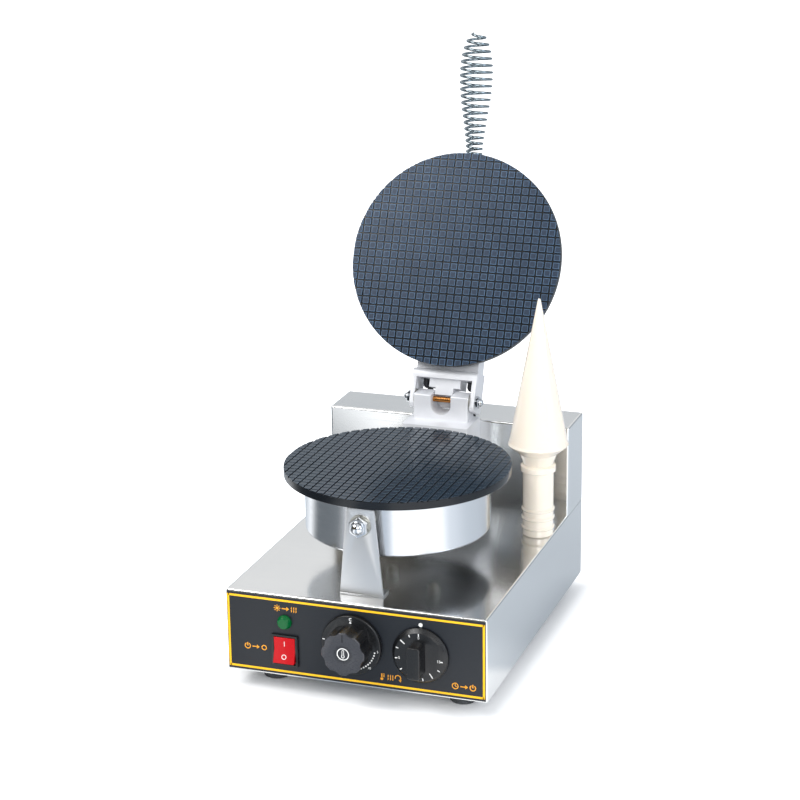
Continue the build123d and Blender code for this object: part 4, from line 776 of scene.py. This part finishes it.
share = add(coil, "GeometryNodeSplineParameter").outputs["Factor"]
rise = add(coil, "ShaderNodeMapRange", {0: share, 1: size["Straight"], 2: size["Belly at"],
                                        3: 0.0, 4: math.pi / 2}).outputs[0]
rise = maths(coil, "SINE", rise)
rise = maths(coil, "POWER", rise, COIL_RISE)
grow = maths(coil, "SUBTRACT", size["Belly"], size["Foot"])
before = maths(coil, "ADD", maths(coil, "MULTIPLY", grow, rise), size["Foot"])
past = maths(coil, "SUBTRACT", share, size["Belly at"])
rest = maths(coil, "SUBTRACT", 1.0, size["Belly at"])
fall = maths(coil, "MINIMUM", maths(coil, "DIVIDE", past, rest), 1.0)
fall = maths(coil, "SUBTRACT", 1.0, maths(coil, "MULTIPLY", fall, fall))
fall = maths(coil, "POWER", fall, COIL_FALL)
shrink = maths(coil, "SUBTRACT", size["Belly"], size["Tip"])
after = maths(coil, "ADD", maths(coil, "MULTIPLY", shrink, fall), size["Tip"])
early = maths(coil, "LESS_THAN", share, size["Belly at"])
radius = add(coil, "ShaderNodeMix", {0: early, 2: after, 3: before}).outputs[0]
left = maths(coil, "SUBTRACT", 1.0, share)
close = maths(coil, "MULTIPLY", maths(coil, "POWER", left, FOOT_FADE), size["Foot turns"])
wound_so_far = maths(coil, "SUBTRACT", maths(coil, "MULTIPLY", share, size["Turns"]), close)
angle = maths(coil, "MULTIPLY", wound_so_far, -2 * math.pi)
cosine = maths(coil, "COSINE", angle)
sine = maths(coil, "SINE", angle)
spot = add(coil, "ShaderNodeCombineXYZ", {0: maths(coil, "MULTIPLY", radius, cosine),
                                          1: maths(coil, "MULTIPLY", radius, sine),
                                          2: maths(coil, "MULTIPLY", share, size["Length"])})
line = add(coil, "GeometryNodeCurvePrimitiveLine", {1: (0, 0, 1)})
points = add(coil, "GeometryNodeResampleCurve", {"Curve": line.outputs[0], "Count": COIL_POINTS})
wound = add(coil, "GeometryNodeSetPosition", {"Geometry": points.outputs[0],
                                              "Position": spot.outputs[0]})
section = add(coil, "GeometryNodeCurvePrimitiveCircle", {"Resolution": 10,
                                                         "Radius": size["Wire"]})
wire = add(coil, "GeometryNodeCurveToMesh", {"Curve": wound.outputs[0],
                                             "Profile Curve": section.outputs[0],
                                             "Fill Caps": True})
real = add(coil, "GeometryNodeRealizeInstances", {0: wire.outputs[0]})
plated = add(coil, "GeometryNodeSetMaterial", {"Geometry": real.outputs[0],
                                               "Material": size["Finish"]})
add(coil, "NodeGroupOutput", {0: plated.outputs[0]})

# %% The handle's coil
COIL_START = 9.1 * MM
COIL_END = 142.0 * MM
COIL_TURNS = 19.5
FOOT_TURNS = 2.1
COIL_WIRE_R = 1.3 * MM
FOOT_R = 7.0 * MM
BELLY_R = 15.1 * MM
TIP_R = 3.7 * MM
BELLY_AT = 0.7
STRAIGHT = 0.1
HANDLE_OVER_PLATE = 28.1 * MM
HANDLE_DIP = math.radians(18.3)

drum_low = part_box("lower_drum")[0]
handle_root = Vector((0, drum_low.y, high.z + PLATE_BEAT + HANDLE_OVER_PLATE))
handle_turn = Matrix.Rotation(math.radians(90) + HANDLE_DIP, 4, "X")
along_handle = Matrix.Translation(handle_root) @ handle_turn
blank = bpy.data.objects.new("handle_spring", bpy.data.meshes.new("handle_spring"))
bpy.context.scene.collection.objects.link(blank)
mesh = run_tree(blank, coil, {"Length": COIL_END - COIL_START - 2 * COIL_WIRE_R,
                              "Turns": COIL_TURNS, "Foot turns": FOOT_TURNS,
                              "Straight": STRAIGHT,
                              "Foot": FOOT_R, "Belly": BELLY_R, "Tip": TIP_R,
                              "Belly at": BELLY_AT, "Wire": COIL_WIRE_R,
                              "Finish": spring_steel})
mesh.transform(OPEN @ along_handle @ Matrix.Translation((0, 0, COIL_START + COIL_WIRE_R)))
mesh.shade_smooth()
spring = keep(mesh, "handle_spring", "lid", spring_steel)
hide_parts("handle_coil")
print("spring faces:", len(mesh.polygons))

# %% [markdown]
# ## Printed marks
# The overlay, the knob skirts and the rocker carry plain marks: a yellow border line, small
# pictograms beside each control, ticks and numbers. Ink has almost no thickness, so each
# mark is a flat shape raised five hundredths of a millimetre.

# %% Flat shapes of ink
INK = 0.05 * MM
INK_WELD = 0.001 * MM
EM_PER_DIGIT = 1.35       # size of the font for digits one unit high


class Print:
    """Collects flat shapes in a plane, X to the right and Y up, and raises them as ink."""

    def __init__(self):
        self.shell = bmesh.new()

    def polygon(self, points):
        self.shell.faces.new([self.shell.verts.new((x * MM, y * MM, 0)) for x, y in points])

    def bar(self, start, end, width):
        a, b = Vector(start), Vector(end)
        side = (b - a).normalized().orthogonal() * width / 2
        self.polygon([a + side, a - side, b - side, b + side])

    def disc(self, centre, radius, steps=20):
        self.ring(centre, radius, 0, steps)

    def ring(self, centre, outer, inner, steps=32, start=0, end=360):
        def at(radius, k):
            a = math.radians(start + (end - start) * k / steps)
            return (centre[0] + radius * math.cos(a), centre[1] + radius * math.sin(a))
        for k in range(steps):
            points = [at(outer, k), at(outer, k + 1)]
            points += [at(inner, k + 1), at(inner, k)] if inner else [tuple(centre)]
            self.polygon(points)

    def text(self, words, centre, height):
        curve = bpy.data.curves.new("mark", "FONT")
        curve.body = words
        curve.size = height * EM_PER_DIGIT * MM
        curve.align_x = "CENTER"
        curve.align_y = "CENTER"
        label = bpy.data.objects.new("mark", curve)
        bpy.context.scene.collection.objects.link(label)
        mesh = plain(label, "mark")
        mesh.transform(Matrix.Translation((centre[0] * MM, centre[1] * MM, 0)))
        self.shell.from_mesh(mesh)
        bpy.data.meshes.remove(mesh)

    def mesh(self, name, place):
        bmesh.ops.remove_doubles(self.shell, verts=self.shell.verts, dist=INK_WELD)
        bmesh.ops.recalc_face_normals(self.shell, faces=self.shell.faces)
        for face in self.shell.faces:
            if face.normal.z < 0:
                face.normal_flip()
        raised = bmesh.ops.extrude_face_region(self.shell, geom=self.shell.faces[:])
        top = [v for v in raised["geom"] if isinstance(v, bmesh.types.BMVert)]
        bmesh.ops.translate(self.shell, verts=top, vec=(0, 0, INK))
        bmesh.ops.recalc_face_normals(self.shell, faces=self.shell.faces)
        mesh = bpy.data.meshes.new(name)
        self.shell.to_mesh(mesh)
        self.shell.free()
        mesh.transform(place)
        return mesh


def facing_front(x, y, z):
    """Puts a flat print on a plane that faces -Y: its Y goes up."""
    return Matrix.Translation((x, y, z)) @ Matrix.Rotation(math.radians(90), 4, "X")


# %% Border line and pictograms of the overlay
BORDER_HALF_W = 120.4
BORDER_LOW = 3.1
BORDER_HIGH = 71.7
BORDER_LINE = 2.0
STROKE = 1.0

panel_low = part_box("control_panel")[0]
panel_face = facing_front(0, panel_low.y, panel_low.z)
ink = Print()
for z in (BORDER_LOW, BORDER_HIGH):
    ink.bar((-BORDER_HALF_W, z), (BORDER_HALF_W, z), BORDER_LINE)
for x in (-BORDER_HALF_W, BORDER_HALF_W):
    ink.bar((x, BORDER_LOW - BORDER_LINE / 2), (x, BORDER_HIGH + BORDER_LINE / 2), BORDER_LINE)
keep(ink.mesh("overlay_border", panel_face), "overlay_border", "base",
     yellow_ink)
ink = Print()


def thermometer(x, z):
    ink.disc((x, z - 2.0), 1.4)
    ink.bar((x, z - 1.4), (x, z + 3.0), STROKE)
    for step in (0, 1.3, 2.6):
        ink.bar((x + 1.1, z + 0.1 + step), (x + 2.6, z + 0.1 + step), 0.6)


def heat_waves(x, z):
    for step in (-2.2, 0, 2.2):
        ink.ring((x + step - 1.0, z - 1.4), 2.0, 1.25, 8, -42, 42)
        ink.ring((x + step + 2.1, z + 1.3), 2.0, 1.25, 8, 138, 222)


def power_sign(x, z):
    ink.ring((x, z), 3.0, 2.1, 24, 120, 420)
    ink.bar((x, z), (x, z + 3.3), STROKE)


def clock_sign(x, z):
    ink.ring((x, z), 3.1, 2.3)
    ink.bar((x, z - 0.2), (x, z + 1.9), 0.7)
    ink.bar((x, z), (x + 1.5, z - 0.6), 0.7)


def lamp_sign(x, z):
    ink.disc((x, z), 1.4)
    for k in range(8):
        a = math.pi * k / 4
        ink.bar((x + 1.9 * math.cos(a), z + 1.9 * math.sin(a)),
                (x + 3.2 * math.cos(a), z + 3.2 * math.sin(a)), 0.75)


def arrow_right(x, z):
    ink.bar((x - 3.4, z), (x + 1.2, z), STROKE)
    ink.polygon([(x + 1.0, z + 2.0), (x + 1.0, z - 2.0), (x + 3.6, z)])


def arrow_round(x, z):
    ink.ring((x, z), 3.0, 2.2, 20, -50, 200)
    ink.polygon([(x + 0.6, z - 1.5), (x + 2.3, z - 3.8), (x + 3.3, z - 1.0)])


lamp_sign(-73.0, 64.1)
arrow_right(-65.1, 64.1)
heat_waves(-57.5, 64.1)
power_sign(-102.8, 23.7)
arrow_right(-94.9, 23.7)
ink.ring((-86.8, 23.7), 2.6, 1.7)
thermometer(25.6, 10.9)
heat_waves(33.2, 10.9)
arrow_round(40.8, 11.3)
clock_sign(94.0, 11.4)
arrow_right(102.2, 11.4)
power_sign(110.2, 11.4)
keep(ink.mesh("overlay_signs", panel_face), "overlay_signs", "base",
     orange_ink)

# %% Index dot of the timer, on the overlay
INDEX_R = 28.3

timer_low, timer_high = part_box("timer_knob")
timer_middle = (timer_low + timer_high) / 2
ink = Print()
ink.disc((0, INDEX_R), 1.9)
place = facing_front(timer_middle.x, panel_low.y, timer_middle.z)
keep(ink.mesh("timer_index_dot", place), "timer_index_dot", "base",
     white_ink)

# %% Ticks and numbers of the timer
TIMER_SKIRT_T = 5.5 * MM
TICK_TO = 22.3
TICK_LONG = 5.2
TICK_SHORT = 2.4
NUMBER_R = 18.4
MINUTES = [("0", 90), ("5", 188), ("15", -5)]
LONG_TICKS = (139, 305)
SHORT_TICKS = (114, 161, 218, 330, 280)

ink = Print()


def tick(degrees, outer, length, width=0.9):
    a = math.radians(degrees)
    ink.bar(((outer - length) * math.cos(a), (outer - length) * math.sin(a)),
            (outer * math.cos(a), outer * math.sin(a)), width)


for words, degrees in MINUTES:
    a = math.radians(degrees)
    ink.text(words, (NUMBER_R * math.cos(a), NUMBER_R * math.sin(a)), 2.6)
    tick(degrees, TICK_TO, TICK_SHORT)
for degrees in LONG_TICKS:
    tick(degrees, TICK_TO, TICK_LONG)
for degrees in SHORT_TICKS:
    tick(degrees, TICK_TO, TICK_SHORT)
place = facing_front(timer_middle.x, timer_high.y - TIMER_SKIRT_T, timer_middle.z)
keep(ink.mesh("timer_marks", place), "timer_marks", "timer", white_ink)

# %% Dots, numbers and ring line of the thermostat
THERMO_SKIRT_T = 4.0 * MM
SCALE_R = 22.8
DOT_R = 0.8
DOTS = 9
DOTS_FROM = -11.0
DOTS_TO = -66.0

thermo_low, thermo_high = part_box("thermostat_knob")
thermo_middle = (thermo_low + thermo_high) / 2
ink = Print()
ink.disc((0, 21.7), 1.0)
ink.ring((0.3, 24.8), 1.6, 0.9, 16, 50, 310)
for k in range(DOTS):
    a = math.radians(DOTS_FROM + (DOTS_TO - DOTS_FROM) * k / (DOTS - 1))
    ink.disc((SCALE_R * math.cos(a), SCALE_R * math.sin(a)), DOT_R, 12)
for words, degrees, radius in (("5", -7, 25.4), ("10", -49, 26.0)):
    a = math.radians(degrees)
    ink.text(words, (radius * math.cos(a), radius * math.sin(a)), 2.3)
tick(-86, 26.2, 1.6)
tick(173, 27.0, 2.2)
place = facing_front(thermo_middle.x, thermo_high.y - THERMO_SKIRT_T, thermo_middle.z)
keep(ink.mesh("thermostat_scale", place), "thermostat_scale", "thermostat",
     white_ink)

# %% Round sign on the thermostat's face, and a black line painted as the shade of its pointer groove
HUB_DEPTH = 1.2 * MM
DISH_R = 11.0
GRIP_FACE_R = 20.2

ink = Print()
ink.ring((0, 0), 5.75, 4.9)
ink.ring((0, -2.2), 1.6, 1.0, 16, 115, 425)
ink.bar((-0.8, -0.9), (-0.8, 3.0), 0.5)
ink.bar((0.8, -0.9), (0.8, 3.0), 0.5)
ink.ring((0, 3.0), 1.05, 0.55, 10, 0, 180)
place = facing_front(thermo_middle.x, thermo_low.y + HUB_DEPTH, thermo_middle.z)
keep(ink.mesh("thermostat_sign", place), "thermostat_sign", "thermostat",
     white_ink)
# painted shade: a thin black line stands for the dark of the pointer groove in the knob's face
ink = Print()
ink.bar((0, DISH_R + 0.5), (0, GRIP_FACE_R - 1.2), 1.0)
place = facing_front(thermo_middle.x, thermo_low.y, thermo_middle.z)
keep(ink.mesh("thermostat_pointer", place), "thermostat_pointer", "thermostat",
     groove_shade_ink)

# %% Line and ring of the rocker
ROCKER_TILT = math.radians(9.0)
rocker_joint = next(j for j in frame["joints"] if j["name"] == "rocker_tilt")
ROCKER_PIVOT = Vector(rocker_joint["pos_m"])
BEZEL_T = 2.0 * MM
ROCKER_FRONT = BEZEL_T * 2.1
ROCKER_REACH = 12.1 * MM
slope = math.atan2(ROCKER_FRONT - BEZEL_T, ROCKER_REACH)
tilt = Matrix.Translation(ROCKER_PIVOT) @ Matrix.Rotation(-ROCKER_TILT, 4, "X")
tilt = tilt @ Matrix.Translation(-ROCKER_PIVOT)


def on_rocker(side):
    """The plane of the rocker's upper (1) or lower (-1) half, before it is tipped."""
    middle = (ROCKER_FRONT + BEZEL_T) / 2
    spot = Vector((ROCKER_PIVOT.x, panel_low.y - middle,
                   ROCKER_PIVOT.z + side * ROCKER_REACH / 2))
    lean = Matrix.Rotation(math.radians(90) + side * slope, 4, "X")
    return tilt @ Matrix.Translation(spot) @ lean


ink = Print()
ink.bar((0, -2.4), (0, 2.4), 0.6)
keep(ink.mesh("rocker_line", on_rocker(1)), "rocker_line", "rocker", white_ink)
ink = Print()
ink.ring((0, 0), 2.3, 1.7)
keep(ink.mesh("rocker_ring", on_rocker(-1)), "rocker_ring", "rocker", white_ink)

# %% [markdown]
# ## Heater leads
# Two sleeved leads carry the current to the plate in the lid. Each leaves the housing
# behind the hinge, arches over and enters the frame of the lid. Geometry Nodes run a
# round section along a Bezier curve, at the lid's rest place.

# %% Geometry Nodes tree: a round lead on a Bezier curve
lead, size = new_tree("bent_lead", [
    ("Start", "NodeSocketVector", (0, 0, 0)), ("Start pull", "NodeSocketVector", (0, 0, 1)),
    ("End pull", "NodeSocketVector", (0, 0, 1)), ("End", "NodeSocketVector", (0, 1, 0)),
    ("Radius", "NodeSocketFloat", 0.003), ("Finish", "NodeSocketMaterial", None)])
path = add(lead, "GeometryNodeCurvePrimitiveBezierSegment", {
    "Start": size["Start"], "Start Handle": size["Start pull"],
    "End Handle": size["End pull"], "End": size["End"], "Resolution": 40})
section = add(lead, "GeometryNodeCurvePrimitiveCircle", {"Resolution": 16,
                                                         "Radius": size["Radius"]})
tube = add(lead, "GeometryNodeCurveToMesh", {"Curve": path.outputs[0],
                                             "Profile Curve": section.outputs[0],
                                             "Fill Caps": True})
real = add(lead, "GeometryNodeRealizeInstances", {0: tube.outputs[0]})
sleeved = add(lead, "GeometryNodeSetMaterial", {"Geometry": real.outputs[0],
                                                "Material": size["Finish"]})
add(lead, "NodeGroupOutput", {0: sleeved.outputs[0]})

# %% The two leads
LEAD_R = 3.0 * MM
LEAD_OVERLAP = 2.0 * MM
RISE = Vector((0, 16.0, 26.0)) * MM
LID_PULL = 6.0 * MM

foot_low, foot_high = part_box("housing_lead_sleeves")
sleeve_r = (foot_high.y - foot_low.y) / 2
lead_x = foot_high.x - sleeve_r
foot_y = (foot_low.y + foot_high.y) / 2
out_of_lid = Matrix.Rotation(-LID_SWING, 3, "X") @ Vector((0, 1, 0))
LID_END_SHUT = Vector((0, -14.0, 10.0)) * MM
lid_end = HINGE + Matrix.Rotation(-LID_SWING, 3, "X") @ LID_END_SHUT
for name, side in (("heater_lead_left", -1), ("heater_lead_right", 1)):
    sideways = Vector((side * lead_x, 0, 0))
    foot = Vector((side * lead_x, foot_y, foot_high.z))
    into_lid = lid_end + sideways
    blank = bpy.data.objects.new(name, bpy.data.meshes.new(name))
    bpy.context.scene.collection.objects.link(blank)
    mesh = run_tree(blank, lead, {"Start": foot - Vector((0, 0, LEAD_OVERLAP)),
                                  "Start pull": foot + RISE,
                                  "End pull": into_lid + out_of_lid * LID_PULL,
                                  "End": into_lid - out_of_lid * LEAD_OVERLAP,
                                  "Radius": LEAD_R, "Finish": lead_sleeve})
    mesh.shade_smooth()
    mesh.set_sharp_from_angle(angle=math.radians(SHARP_DEG))
    mesh.name = name
    piece = bpy.data.objects.new(name, mesh)
    bpy.context.scene.collection.objects.link(piece)
    dress(piece, lead_sleeve)
    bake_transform(piece)
print("lead ends apart:", round((lid_end - Vector((0, foot_y, foot_high.z))).length / MM, 1), "mm")
